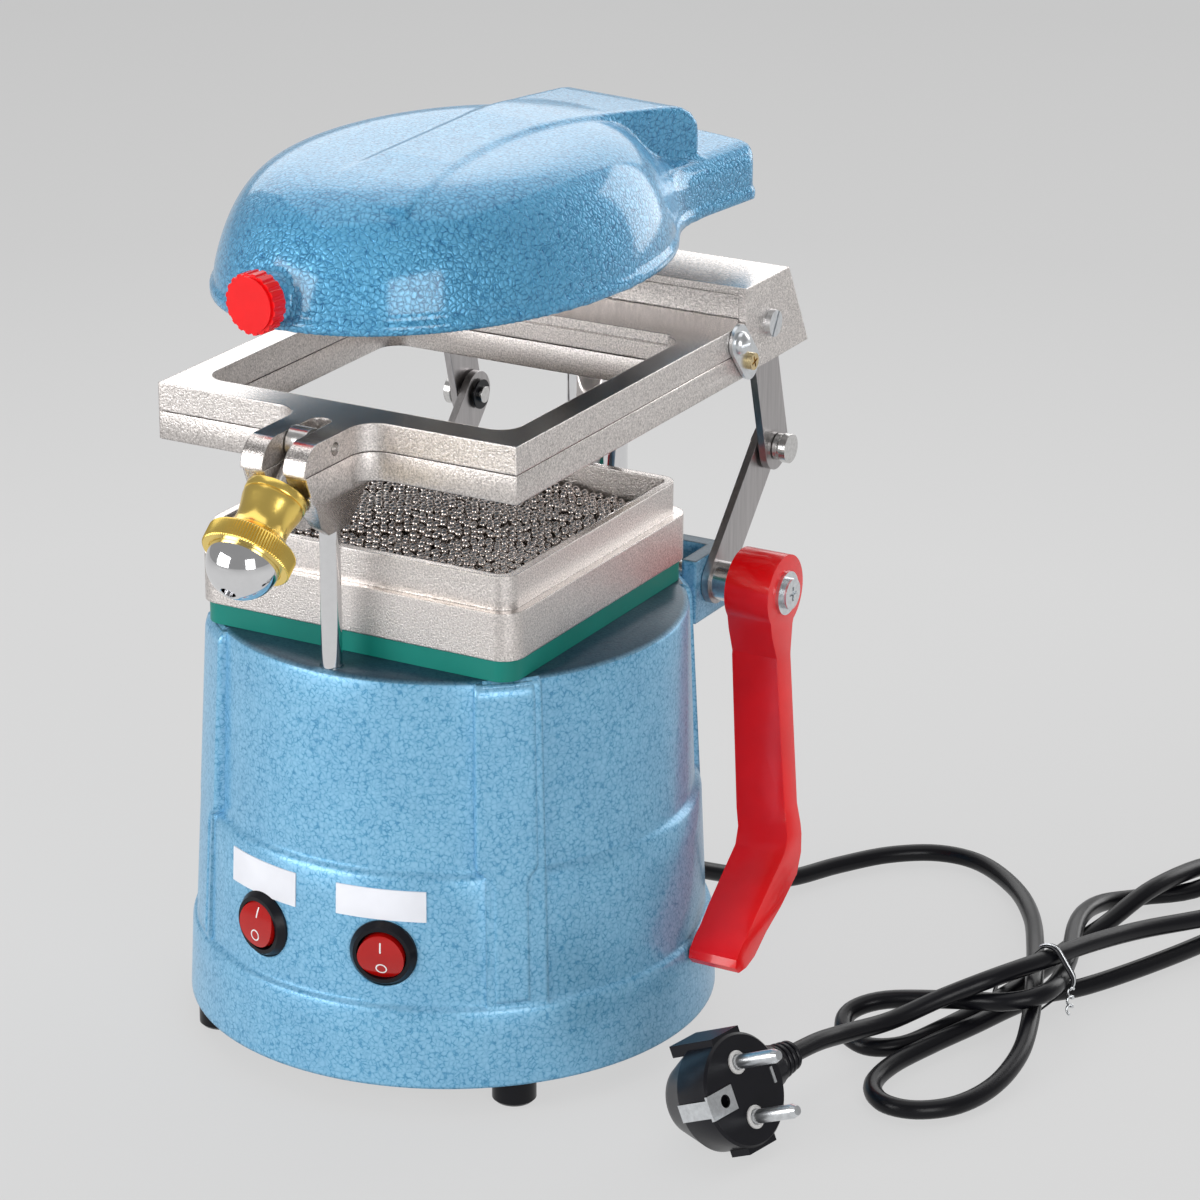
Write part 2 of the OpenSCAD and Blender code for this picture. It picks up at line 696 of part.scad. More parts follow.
module upper_frame() {
  w2 = frame_w / 2;
  color("silver") difference() {
    union() {
      translate([-w2, frame_y0, up_z0]) cube([frame_w, 83.4 - frame_y0, up_t]);
      translate([-w2 + 3.3, frame_y0, up_z0]) cube([frame_w - 6.6, 86.6 - frame_y0, up_t]);
      intersection() {
        translate([0, 0, up_z0]) linear_extrude(up_t) lug_plan();
        yz(-40, 40) union() {
          translate([fork_y, up_z0]) square([60, up_t]);
          translate([fork_y, up_z0]) intersection() {
            scale([1, 1]) circle(r = up_t + 0.1);
            translate([-20, 0]) square([40, up_t]);
          }
        }
      }
    }
    window_cut(up_z0 - 1, up_z0 + 30);
    slot_cut(190, 260);
    // ledge that steps down to the window at the back
    translate([-window_w / 2 + 6, win_y1 - 14, up_z1 - 3.4]) cube([window_w - 12, 16, 10]);
    // underside cleared so that the frame can open
    yz(-w2 - 1, w2 + 1) polygon([[hinge_y - 1, up_z0 - 1], [hinge_y - 1, up_z0], [88, up_z0 + 1.7], [88, up_z0 - 1]]);
    xbar(-30, 30, pin_y, pin_z, cross_pin_d);
    both() xbar(w2 - 9, w2 + 1, hinge_y, hinge_z, 4 + 2 * pin_gap);
  }
}
module cross_pin() {
  color("silver") xbar(-fork_w / 2 + 2.6, fork_w / 2 - 2.6, pin_y, pin_z, cross_pin_d);
}
module eye_bolt() {
  color("silver") on_bolt() difference() {
    union() {
      rotate([0, 90, 0]) cylinder(h = fork_slot - 0.8, d = 11, center = true);
      cylinder(h = seat_s + 26, d = bolt_d);
    }
    rotate([0, 90, 0]) cylinder(h = 20, d = cross_pin_d + 2 * pin_gap, center = true);
  }
}
module knob_body() {
  k = knob_seat_d / 2;
  f = knurl_d / 2;
  color("gold") on_bolt() difference() {
    union() {
      rotate_extrude() polygon([[0, seat_s], [k - 0.3, seat_s], [k, seat_s + 0.3], [k, seat_s + 3],
        [k - 0.3, seat_s + 3.3], [k - 0.3, seat_s + 3.7], [k - 0.1, seat_s + 4], [k - 0.3, seat_s + 5.5],
        [k - 1, seat_s + 8], [k - 1.5, seat_s + 10.5], [k - 1.6, seat_s + 12.5], [k - 1.3, seat_s + 14.5],
        [k - 0.3, seat_s + 16.5], [k + 1.5, seat_s + 18], [f - 1, seat_s + 19], [f - 0.5, seat_s + 19.1],
        [f - 0.5, seat_s + 25.6], [0, seat_s + 25.6]]);
      translate([0, 0, seat_s + 19.5]) linear_extrude(5.7) difference() {
        circle(f);
        for (a = [0:7.5:352.5]) {
          rotate(a) translate([f + 0.1, 0]) circle(d = 1.1, $fn = 16);
        }
      }
    }
    translate([0, 0, seat_s - 1]) cylinder(h = 40, d = bolt_d + 2 * pin_gap);
    translate([0, 0, seat_s + 26.4]) sphere(12.1);
  }
}
module knob_ball() {
  color("silver") on_bolt() difference() {
    translate([0, 0, seat_s + 26.4]) sphere(12);
    translate([0, 0, seat_s]) cylinder(h = 26 + 0.4, d = bolt_d + 2 * pin_gap);
    translate([0, 0, seat_s + 34]) cylinder(h = 10, d = 5);
  }
}
module front_rod() {
  color("silver") translate([0, rod_y, top_z - 16]) cylinder(h = frame_z + 5 - (top_z - 16), d = rod_d);
}
module hinge_block() {
  w2 = frame_w / 2;
  color("silver") difference() {
    union() {
      yz(-w2, w2) polygon([[low_y1, frame_z + 0.6], [132.5, frame_z + 1], [116.8, frame_z + 31.3], [low_y1, frame_z + 31.4]]);
      yz(-w2, w2) translate([84.6, frame_z + 28.4]) square([6, 3]);
      both() yz(cheek_x, w2) translate([84.6, frame_z + low_t + joint_gap]) square([6, 31.4 - low_t - joint_gap]);
    }
    // hollow from below on each side of the column
    both() yz(20, link_in_x - 2.6) polygon([[low_y1 + 4, frame_z - 2], [127, frame_z - 2], [127, frame_z + 4], [115, frame_z + 27], [low_y1 + 4, frame_z + 27]]);
    // pockets for the upper links
    both() yz(link_out_x - 0.5, cheek_x) polygon([[92, frame_z - 2], [128, frame_z - 2],
      [128, frame_z + 3], [118, frame_z + 22], [112, frame_z + 24.6], [92, frame_z + 24.6]]);
    translate([0, col_y, frame_z - 2]) cylinder(h = 40, d = col_d + 5);
    both() xbar(link_in_x - 4, w2 + 1, up_y, up_z, up_pin_d);
    for (x = [-40, -27, 27, 40]) {
      translate([x, low_y1 + 6, frame_z + low_t / 2]) rotate([90, 0, 0]) cylinder(h = 12, d = 5 + 2 * loose);
    }
  }
}
module guide_bush() {
  color("goldenrod") translate([0, col_y, 0]) difference() {
    union() {
      translate([0, 0, frame_z + 0.6]) cylinder(h = 30.9, d = col_d + 5);
      translate([0, 0, frame_z + 31.4]) cylinder(h = 1.4, d = col_d + 9);
      translate([0, 0, frame_z - 0.8]) cylinder(h = 1.4, d = col_d + 5.6);
    }
    translate([0, 0, frame_z - 5]) cylinder(h = 50, d = col_d + 2 * col_gap);
  }
}
module block_bolts() {
  color("dimgray") for (x = [-40, -27, 27, 40]) {
    translate([x, low_y1 + 4, frame_z + low_t / 2]) {
      rotate([90, 0, 0]) cylinder(h = 13, d = 5);
      rotate([-90, 0, 0]) difference() {
        cylinder(h = 4, d = 8.5);
        translate([0, 0, 2]) cylinder(h = 3, d = 4, $fn = 6);
      }
    }
  }
}
module link_screws() {
  w2 = frame_w / 2;
  color("silver") both() difference() {
    union() {
      xbar(link_in_x - 4, w2, up_y, up_z, up_pin_d);
      xbar(w2, w2 + 2, up_y, up_z, 9.5);
    }
    yz(w2 + 1.2, w2 + 3) translate([up_y, up_z]) rotate(60) square([12, 1.3], center = true);
  }
}
module hinge_plates() {
  w2 = frame_w / 2;
  color("lightgray") both() difference() {
    yz(w2 + 0.2, w2 + 1.4) translate([hinge_y, hinge_z]) rotate(atan2(hinge_screw_z - hinge_z, hinge_screw_y - hinge_y)) {
      translate([-1, -6]) square([12.7, 12]);
      translate([-1, 0]) circle(r = 6);
      translate([11.7, 0]) circle(r = 6);
    }
    xbar(0, 100, hinge_screw_y, hinge_screw_z, 3 + 2 * loose);
    xbar(0, 100, hinge_y, hinge_z, 4);
  }
}
module hinge_pins() {
  w2 = frame_w / 2;
  color("silver") both() {
    xbar(w2 - 8, w2 + 1.4, hinge_y, hinge_z, 4);
    difference() {
      translate([w2 + 1.4, hinge_y, hinge_z]) rotate([0, 90, 0]) rotate_extrude() polygon([[0, 0],
        [4.2, 0], [4.1, 0.8], [3.3, 1.9], [1.9, 2.6], [0, 2.8]]);
      yz(w2 + 3.2, w2 + 6) translate([hinge_y, hinge_z]) square([9, 1], center = true);
    }
  }
}
module plate_bolts() {
  w2 = frame_w / 2;
  color("goldenrod") both() {
    xbar(w2 - 8, w2 + 1.4, hinge_screw_y, hinge_screw_z, 3);
    difference() {
      xbar(w2 + 1.4, w2 + 3.2, hinge_screw_y, hinge_screw_z, 6);
      for (a = [20, 110]) {
        yz(w2 + 2.4, w2 + 4) translate([hinge_screw_y, hinge_screw_z]) rotate(a) square([4, 0.8], center = true);
      }
    }
  }
}
// ---------- heater head ----------
// superellipse crown: share of the full size, height above the rim
crown = [for (p = [1, 0.996, 0.985, 0.965, 0.935, 0.89, 0.83, 0.75, 0.64, 0.48])
  [p, crown_side + crown_h * pow(1 - pow(p, 7.6), 0.826)]];
function oval(f, inset, z) = [for (i = [0:ring_n - 1])
  [(head_a - inset) * f * sin(i * 360 / ring_n), -85.4 + (head_b - inset) * f * cos(i * 360 / ring_n), z]];
module crown_solid(inset, drop) {
  k = inset > 0 ? 1 : 0.985;
  rings = concat([oval(1, inset, head_z - drop), oval(1, inset, head_z + 3.2), oval((1 + k) / 2, inset, head_z + 3.6)],
    [for (c = crown) oval(c[0] * k, inset, head_z + c[1] - inset)]);
  m = len(rings);
  pts = concat([for (r = rings) for (q = r) q], [[0, -85.4, head_z + crown_side + crown_h - inset]]);
  faces = concat([[for (i = [ring_n - 1:-1:0]) i]],
    [for (k = [0:m - 2]) for (i = [0:ring_n - 1]) [k * ring_n + i,
      (k + 1) * ring_n + (i + 1) % ring_n, (k + 1) * ring_n + i]],
    [for (k = [0:m - 2]) for (i = [0:ring_n - 1]) [k * ring_n + i,
      k * ring_n + (i + 1) % ring_n, (k + 1) * ring_n + (i + 1) % ring_n]],
    [for (i = [0:ring_n - 1]) [(m - 1) * ring_n + i, (m - 1) * ring_n + (i + 1) % ring_n, m * ring_n]]);
  polyhedron(points = pts, faces = faces);
}
// outline of the raised arm on the crown, (across, back)
arm_plan = [[-24.5, 19.5], [-23, 7], [-21, -20], [-19.6, -34], [-15, -60], [-11, -86], [-7, -113], [-4, -137],
  [4, -148], [18, -152], [31, -148], [30, -138], [27.3, -127], [24, -115], [19.1, -98], [15.1, -77],
  [14.2, -59], [15.5, -44], [18, -30], [22, -12], [27, 7], [30, 19.5]];
module arm_ridge() {
  intersection() {
    linear_extrude(400) polygon(arm_plan);
    yz(-60, 60) polygon([[19.5, head_z + 29], [18.8, head_z + 32.5], [16, head_z + 36.2], [12, head_z + 38.6],
      [7, head_z + 39.5], [-20, head_z + 41.6], [-50, head_z + 43.2],
      [-110, head_z + 43], [-135, head_z + 40.8], [-153, head_z + 37], [-153, head_z + 20],
      [-2, head_z + 10], [19.5, head_z + 17]]);
  }
}
module neck_solid(inset) {
  w = neck_w - 2 * inset;
  intersection() {
    translate([0, neck_l - inset + 0.1, head_z]) rotate([90, 0, 0]) linear_extrude(neck_l + 24) {
      translate([-w / 2, 0]) square([w, neck_h - 8]);
      translate([-w / 2 + 8, 0]) square([w - 16, neck_h - inset]);
      for (s = [-1, 1]) {
        translate([s * (w / 2 - 8), neck_h - 8 - inset]) circle(8);
      }
    }
    translate([0, neck_l / 2 - 12, head_z]) linear_extrude(60) rr(w, neck_l + 24 - 2 * inset, 7);
  }
}
module head_cover() {
  color("skyblue") on_head() difference() {
    union() {
      crown_solid(0, 0);
      arm_ridge();
      neck_solid(0);
      // band round the foot of the neck
      translate([0, neck_l / 2 - 12, head_z]) linear_extrude(3.8) rr(neck_w + 2, neck_l + 26, 8);
      // socket of the grip
      translate([0, -85.4 - head_b + 9.7, head_z + 10]) rotate([90, 0, 0]) cylinder(h = 10, d = 15);
    }
    crown_solid(head_wall, 1);
    translate([0, 0, -0.01]) neck_solid(3);
    translate([0, -85.4 - head_b + 8, head_z + 10]) rotate([90, 0, 0]) cylinder(h = 20, d = 5);
  }
}
module head_collar() {
  color("dimgray") on_head() difference() {
    union() {
      translate([0, 14, head_z + 0.3]) linear_extrude(3) rr(neck_w - 8, 54, 5);
      translate([0, 0, head_z + 0.3]) cylinder(h = 15, d = col_d + 12);
    }
    translate([0, 0, head_z - 1]) cylinder(h = 30, d = col_d + 2 * col_gap);
  }
}
module reflector() {
  color("silver") on_head() translate([0, -85.4, head_z + 22]) difference() {
    union() {
      linear_extrude(1.4) rr(100, 144, 46);
      linear_extrude(5) difference() {
        rr(100, 144, 46);
        rr(97.2, 141.2, 44.6);
      }
    }
    for (x = [-34, 34], y = [-48, 48]) {
      translate([x, y, -1]) cylinder(h = 5, d = 4);
    }
  }
}
module reflector_posts() {
  color("silver") on_head() for (x = [-34, 34], y = [-48, 48]) {
    translate([x, -85.4 + y, head_z + 19]) {
      cylinder(h = 3, d = 8, $fn = 6);
      cylinder(h = 14, d = 4);
      translate([0, 0, 4.4]) cylinder(h = 9.6, d = 8);
    }
  }
}
module heater_element() {
  color("dimgray") on_head() translate([0, -85.4, head_z + 13]) {
    for (x = [-36, -12, 12, 36]) {
      translate([x, 46, 0]) rotate([90, 0, 0]) cylinder(h = 92, d = 6.5);
    }
    for (x = [-24, 24]) {
      translate([x, -46, 0]) rotate([0, 0, 180]) rotate_extrude(angle = 180) translate([12, 0]) circle(d = 6.5);
    }
    translate([0, 46, 0]) rotate_extrude(angle = 180) translate([12, 0]) circle(d = 6.5);
    for (x = [-36, 36]) {
      translate([x, 54, 0]) rotate([90, 0, 0]) cylinder(h = 9, d = 9);
    }
  }
}
module heater_bars() {
  color("white") on_head() translate([0, -85.4, head_z + 13]) for (y = [-30, 30]) {
    translate([0, y, 0]) difference() {
      translate([-44, -3, -5]) cube([88, 6, 14]);
      for (x = [-36, -12, 12, 36]) {
        translate([x, 5, 0]) rotate([90, 0, 0]) cylinder(h = 10, d = 6.5 + 2 * loose);
      }
    }
  }
}
module grip() {
  color("red") on_head() translate([0, -85.4 - head_b - 0.3, head_z + 10]) rotate([90, 0, 0]) {
    difference() {
      union() {
        cylinder(h = 2.4, d1 = 16, d2 = 18);
        translate([0, 0, 2.4]) linear_extrude(5.4) difference() {
          circle(d = grip_d);
          for (a = [0:18:342]) {
            rotate(a) translate([grip_d / 2 + 0.4, 0]) circle(d = 2, $fn = 16);
          }
        }
        translate([0, 0, 7.8]) cylinder(h = 0.9, d = grip_d - 2.4);
      }
      translate([0, 0, -1]) cylinder(h = 6, d = 5);
    }
  }
}
module grip_stud() {
  color("silver") on_head() translate([0, -85.4 - head_b - 4.8, head_z + 10]) rotate([-90, 0, 0]) {
    cylinder(h = 17.5, d = 5);
    translate([0, 0, 14.6]) cylinder(h = 3.4, d = 8, $fn = 6);
  }
}
// ---------- mains lead ----------
module lead_gland() {
  color([0.1, 0.1, 0.1]) rotate([0, 0, 68]) translate([base_r - 0.1, 0, 17.5]) rotate([0, 90, 0]) difference() {
    rotate_extrude() polygon([[0, -12], [5.5, -12], [5.5, 0], [7, 0], [7, 2.6], [5.4, 4], [4.2, 20], [0, 20]]);
    translate([0, 0, -13]) cylinder(h = 32, d = 4);
  }
}
// one closed tube through a list of points
function cat(p0, p1, p2, p3, t) = 0.5 * ((2 * p1) + (p2 - p0) * t + (2 * p0 - 5 * p1 + 4 * p2 - p3) * t * t
  + (3 * p1 - p0 - 3 * p2 + p3) * t * t * t);
function smooth(q, a, b, n) = concat([for (i = [a:b - 1]) for (j = [0:n - 1])
  cat(q[max(i - 1, 0)], q[i], q[i + 1], q[min(i + 2, len(q) - 1)], j / n)], [q[b]]);
function unit(v) = v / norm(v);
sides = 8;
module tube(q, t0, t1, r) {
  n = len(q);
  pts = [for (i = [0:n - 1]) let (t = i == 0 ? t0 : i == n - 1 ? t1 : unit(q[i + 1] - q[i - 1]),
    u = unit(cross(t, [0, 0, 1])), v = cross(u, t)) for (k = [0:sides - 1])
    q[i] + r * cos(k * 360 / sides + 22.5) * u + r * sin(k * 360 / sides + 22.5) * v];
  faces = concat([[for (k = [0:sides - 1]) k]], [[for (k = [sides - 1:-1:0]) (n - 1) * sides + k]],
    [for (i = [0:n - 2]) for (k = [0:sides - 1]) [i * sides + k, (i + 1) * sides + k, (i + 1) * sides + (k + 1) % sides]],
    [for (i = [0:n - 2]) for (k = [0:sides - 1]) [i * sides + k, (i + 1) * sides + (k + 1) % sides, i * sides + (k + 1) % sides]]);
  polyhedron(points = pts, faces = faces);
}
// way of the lead over the floor, from the gland to the plug
way = [[42, 104, 17.5], [52, 124, 9], [61.5, 139.5, 4.5], [71, 161, 3.5], [83.5, 179.5, 3.5], [99.5, 190.5, 3.5],
  [117.5, 189.5, 3.5], [138.5, 173.5, 4], [156, 148.5, 6.5], [171.5, 116.5, 10.8], [184.5, 86, 12.6], [193, 63.5, 9],
  [198, 43.5, 6], [198.5, 22, 4], [193.5, 4, 3.5], [183, -6.5, 3.5], [171, -7, 3.5], [162.5, 3, 3.5], [162, 19, 4],
  [167.5, 39.5, 4.5], [174, 59.5, 4.8], [179.5, 77.5, 5.2], [185, 93, 5], [193.5, 109, 3.5], [205, 133.5, 3.5],
  [216.5, 164, 3.5], [226.5, 198.5, 3.5], [230, 224.5, 4], [216.5, 240, 3.5], [197.5, 226.5, 7], [189.5, 185, 12],
  [181, 157, 5.5], [176, 136.5, 3.5], [175.5, 116.5, 3.8], [175, 95.5, 5], [170.5, 73.5, 4.4], [164, 52.5, 3.5],
  [158, 35, 3.5], [147.5, 28.5, 3.5], [137, 33.5, 4.5], [133.5, 44.5, 6.5], [142.5, 54.5, 9], [166, 59.5, 12.5],
  [186, 62, 15.5], [195, 75.5, 16.5], [188, 107.5, 13], [176, 144, 11], [172.5, 172.5, 6], [181.5, 191, 3.5],
  [199, 209.5, 4.5], [215, 244.5, 13.5], [236, 259, 12], [249, 241, 10.5], [239, 206.5, 10.5], [217.5, 168.5, 12.5],
  [202.5, 138, 16], [194, 109, 20], [188, 84, 22.5], [179, 63, 22.5], [165.5, 50, 17], [154, 33.5, 12.5],
  [147, 14, 14.5], [143.4, -1, 17.2], [141.25, -15.67, 17.85]];
last = len(way) - 1;
run_end = 9;
lead_start = 58;
all_way = smooth(way, 0, last, 3);
function way_dir(i) = unit(all_way[3 * i + 1] - all_way[3 * i - 1]);
// least gap between two turns of the lead
m_way = len(all_way);
self_gap = min([for (i = [0:m_way - 1]) for (j = [i + 5:1:m_way - 1]) norm(all_way[i] - all_way[j])]) - 2 * cord_r;
echo(least_gap_between_turns = self_gap);
echo(lead_length = [for (i = 0, s = 0; i < m_way - 1; s = s + norm(all_way[i + 1] - all_way[i]), i = i + 1) s][m_way - 2]);
module cord_run() {
  color([0.1, 0.1, 0.1]) tube(smooth(way, 0, run_end, 3), unit([cos(68), sin(68), 0]), way_dir(run_end), cord_r);
}
module cord_hank() {
  color([0.1, 0.1, 0.1]) tube(smooth(way, run_end, lead_start, 3), way_dir(run_end), way_dir(lead_start), cord_r);
}
module cord_lead() {
  color([0.1, 0.1, 0.1]) tube(smooth(way, lead_start, last, 3), way_dir(lead_start), unit([-0.182, -0.983, 0]), cord_r);
}
// tie round the strands
tie_at = [[183.9, 12.4], [183.3, 5.1], [173.6, 5], [193.6, 15.5], [189, 22.1]];
module tie_shape(r) {
  hull() for (p = tie_at) translate(p) circle(r, $fn = 32);
}
module cord_tie() {
  color([0.15, 0.15, 0.15]) translate([0, 90, 0]) rotate([90, 0, 0]) linear_extrude(4) difference() {
    tie_shape(cord_r + 1.6);
    tie_shape(cord_r + 0.9);
  }
}
// ---------- plug ----------
module on_plug() {
  translate([144.1, -55, 22.5]) rotate([0, -25, -10.5]) children();
}
module plug_body() {
  p = plug_d / 2;
  color([0.1, 0.1, 0.1]) on_plug() difference() {
    union() {
      rotate([0, 90, 0]) rotate_extrude() polygon([[0, -26], [p - 8, -26], [p - 7, -25], [p - 0.6, -13.5], [p, -12.5],
        [p, -0.8], [p - 0.8, 0], [0, 0]]);
      translate([-11, 8, 0]) rotate([-90, 0, 0]) cylinder(h = 18, d1 = 19, d2 = 15);
      translate([-11, 26, 0]) rotate([-90, 0, 0]) cylinder(h = 12, d1 = 12, d2 = 8);
      // finger grips over the two pins
      translate([-20, -7, p - 3]) cube([19.2, 14, 4]);
      translate([-9, -7, -p - 1]) cube([8.2, 14, 4]);
    }
    // earth socket, the recesses of both earth clips and the seats of the pins
    translate([-8, -11, 0]) rotate([0, 90, 0]) cylinder(h = 10, d = 5);
    translate([-13.2, -p - 1, -3.2]) cube([14.2, 2.1, 6.4]);
    translate([-0.7, -p - 1, -4.4]) cube([2, p - 5, 8.8]);
    translate([-10.2, 13.8, -3]) cube([11.2, 1.4, 6]);
    for (s = [-1, 1]) translate([-9, 0, s * 9.5]) rotate([0, 90, 0]) cylinder(h = 10, d = 4);
  }
}
module plug_pins() {
  color("silver") on_plug() for (s = [-1, 1]) {
    translate([-9, 0, s * 9.5]) rotate([0, 90, 0]) {
      cylinder(h = 9, d = 4);
      translate([0, 0, 9]) rotate_extrude() polygon([[0, 0], [2.4, 0], [2.4, 17], [1.6, 19], [0, 19]]);
    }
  }
}
module earth_clips() {
  p = plug_d / 2;
  color("silver") on_plug() {
    difference() {
      union() {
        translate([-13.2, -p - 0.1, -3]) cube([13.5, 1.2, 6]);
        translate([-0.7, -p + 0.1, -4.2]) cube([1, p - 6.3, 8.4]);
      }
      translate([-2, -11, 0]) rotate([0, 90, 0]) cylinder(h = 4, d = 4.4);
    }
    translate([-10.2, 13.8, -2.8]) cube([10.5, 1.2, 5.6]);
  }
}

base_housing();
base_plate();
plate_screws();
rubber_feet();
foot_screws();
fan_housing();
motor_screws();
motor_body();
fan_wheel();
inlet_seal();
bezel_left();
bezel_right();
rocker_left();
rocker_right();
gasket();
bead_tray();
bead_bed();
column();
column_bolt();
column_stop();
stop_screw();
cross_shaft();
shaft_collars();
lower_links();
upper_links();
link_washers();
mid_pins();
pin_clips();
lever();
lever_fixings();
lower_frame();
upper_frame();
cross_pin();
eye_bolt();
knob_body();
knob_ball();
front_rod();
hinge_block();
guide_bush();
block_bolts();
link_screws();
hinge_plates();
hinge_pins();
plate_bolts();
head_cover();
head_collar();
reflector();
reflector_posts();
heater_element();
heater_bars();
grip();
grip_stud();
lead_gland();
cord_run();
cord_hank();
cord_lead();
cord_tie();
plug_body();
plug_pins();
earth_clips();
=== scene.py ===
import bpy, bmesh, json, math
import numpy as np
from mathutils import Matrix, Vector
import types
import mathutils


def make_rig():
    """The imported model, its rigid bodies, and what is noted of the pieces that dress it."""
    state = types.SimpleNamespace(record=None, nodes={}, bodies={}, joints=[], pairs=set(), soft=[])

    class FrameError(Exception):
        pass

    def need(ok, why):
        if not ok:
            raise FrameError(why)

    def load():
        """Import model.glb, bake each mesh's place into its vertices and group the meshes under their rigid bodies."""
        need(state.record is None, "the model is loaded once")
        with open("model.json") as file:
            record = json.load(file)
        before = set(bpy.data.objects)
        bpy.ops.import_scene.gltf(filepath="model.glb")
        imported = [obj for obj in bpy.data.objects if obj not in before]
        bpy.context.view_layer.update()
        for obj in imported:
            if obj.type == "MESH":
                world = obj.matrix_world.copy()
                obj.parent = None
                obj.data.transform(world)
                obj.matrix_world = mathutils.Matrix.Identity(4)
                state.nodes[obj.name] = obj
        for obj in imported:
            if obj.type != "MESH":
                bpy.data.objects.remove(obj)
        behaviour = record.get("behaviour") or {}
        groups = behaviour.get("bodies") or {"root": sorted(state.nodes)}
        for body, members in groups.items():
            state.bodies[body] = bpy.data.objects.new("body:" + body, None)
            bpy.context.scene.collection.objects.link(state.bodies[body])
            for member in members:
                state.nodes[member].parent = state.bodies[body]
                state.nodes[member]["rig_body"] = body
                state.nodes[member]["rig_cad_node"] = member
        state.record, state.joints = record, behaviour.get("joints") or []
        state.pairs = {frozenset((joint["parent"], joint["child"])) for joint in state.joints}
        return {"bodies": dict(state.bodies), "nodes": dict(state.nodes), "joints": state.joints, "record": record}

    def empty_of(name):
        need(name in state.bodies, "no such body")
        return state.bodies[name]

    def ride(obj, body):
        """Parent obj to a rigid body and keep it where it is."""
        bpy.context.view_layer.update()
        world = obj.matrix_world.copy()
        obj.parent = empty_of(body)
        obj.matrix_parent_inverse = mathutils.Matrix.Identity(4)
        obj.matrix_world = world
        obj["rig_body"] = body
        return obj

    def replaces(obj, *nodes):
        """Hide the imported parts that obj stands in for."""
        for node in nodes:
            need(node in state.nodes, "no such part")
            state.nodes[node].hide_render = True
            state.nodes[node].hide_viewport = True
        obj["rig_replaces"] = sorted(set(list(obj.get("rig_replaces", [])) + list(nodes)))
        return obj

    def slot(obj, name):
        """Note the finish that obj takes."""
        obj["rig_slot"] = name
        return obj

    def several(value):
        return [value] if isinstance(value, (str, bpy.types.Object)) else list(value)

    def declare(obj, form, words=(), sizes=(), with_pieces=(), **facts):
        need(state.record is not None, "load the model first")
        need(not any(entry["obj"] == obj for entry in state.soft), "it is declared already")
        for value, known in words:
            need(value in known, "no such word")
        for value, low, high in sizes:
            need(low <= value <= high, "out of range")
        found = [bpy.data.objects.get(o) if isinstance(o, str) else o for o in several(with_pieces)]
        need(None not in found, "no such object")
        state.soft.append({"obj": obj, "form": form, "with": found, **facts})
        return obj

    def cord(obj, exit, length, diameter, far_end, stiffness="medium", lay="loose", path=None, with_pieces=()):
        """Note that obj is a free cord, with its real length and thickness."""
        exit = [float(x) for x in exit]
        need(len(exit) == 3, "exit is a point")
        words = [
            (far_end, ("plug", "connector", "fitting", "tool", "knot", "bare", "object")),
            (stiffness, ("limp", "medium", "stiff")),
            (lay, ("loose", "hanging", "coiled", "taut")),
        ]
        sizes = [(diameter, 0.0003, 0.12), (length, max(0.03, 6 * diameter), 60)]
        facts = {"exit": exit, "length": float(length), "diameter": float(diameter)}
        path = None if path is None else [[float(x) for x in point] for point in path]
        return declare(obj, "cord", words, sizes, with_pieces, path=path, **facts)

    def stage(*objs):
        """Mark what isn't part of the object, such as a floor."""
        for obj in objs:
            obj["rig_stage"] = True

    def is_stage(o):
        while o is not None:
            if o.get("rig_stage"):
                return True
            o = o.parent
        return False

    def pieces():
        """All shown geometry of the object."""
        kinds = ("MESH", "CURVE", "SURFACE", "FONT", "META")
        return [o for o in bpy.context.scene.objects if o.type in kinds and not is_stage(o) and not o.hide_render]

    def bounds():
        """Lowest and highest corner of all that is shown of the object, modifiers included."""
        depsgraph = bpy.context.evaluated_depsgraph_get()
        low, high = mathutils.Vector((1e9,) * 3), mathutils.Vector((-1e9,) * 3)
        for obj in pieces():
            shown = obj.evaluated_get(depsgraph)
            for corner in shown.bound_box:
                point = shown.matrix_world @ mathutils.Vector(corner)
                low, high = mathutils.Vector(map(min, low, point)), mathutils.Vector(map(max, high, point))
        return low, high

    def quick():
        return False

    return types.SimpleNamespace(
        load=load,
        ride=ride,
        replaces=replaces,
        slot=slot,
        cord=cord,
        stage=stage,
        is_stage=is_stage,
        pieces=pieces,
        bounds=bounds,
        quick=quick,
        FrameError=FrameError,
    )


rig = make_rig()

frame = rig.load()
cad_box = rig.bounds()
N = frame["nodes"]
scene = bpy.context.scene
scene.view_settings.view_transform = "Standard"

# ---------------------------------------------------------------- camera
yaw, pitch, roll = (math.radians(a) for a in (29.099, 20.356, 0.266))
f = Vector((-math.sin(yaw) * math.cos(pitch), math.cos(yaw) * math.cos(pitch), -math.sin(pitch)))
r0 = Vector((math.cos(yaw), math.sin(yaw), 0))
u0 = r0.cross(f)
r = math.cos(roll) * r0 + math.sin(roll) * u0
u = -math.sin(roll) * r0 + math.cos(roll) * u0
cam = bpy.data.objects.new("camera", bpy.data.cameras.new("camera"))
scene.collection.objects.link(cam)
cam.data.sensor_width = 36
cam.data.lens = 131.74
cam.data.clip_end = 50
eye = (.72793, -1.20328, .6702)
cam.matrix_world = Matrix([(r[k], u[k], -f[k], eye[k]) for k in range(3)] + [(0, 0, 0, 1)])
scene.camera = cam

# ---------------------------------------------------------------- node helpers
def newmat(name):
    m = bpy.data.materials.new(name)
    m.use_nodes = True
    nt = m.node_tree
    return m, nt, nt.nodes["Principled BSDF"]

def nd(nt, kind, **kw):
    n = nt.nodes.new(kind)
    for k, v in kw.items():
        if k.startswith("i_"):
            n.inputs[k[2:].replace("_", " ")].default_value = v
        else:
            setattr(n, k, v)
    return n

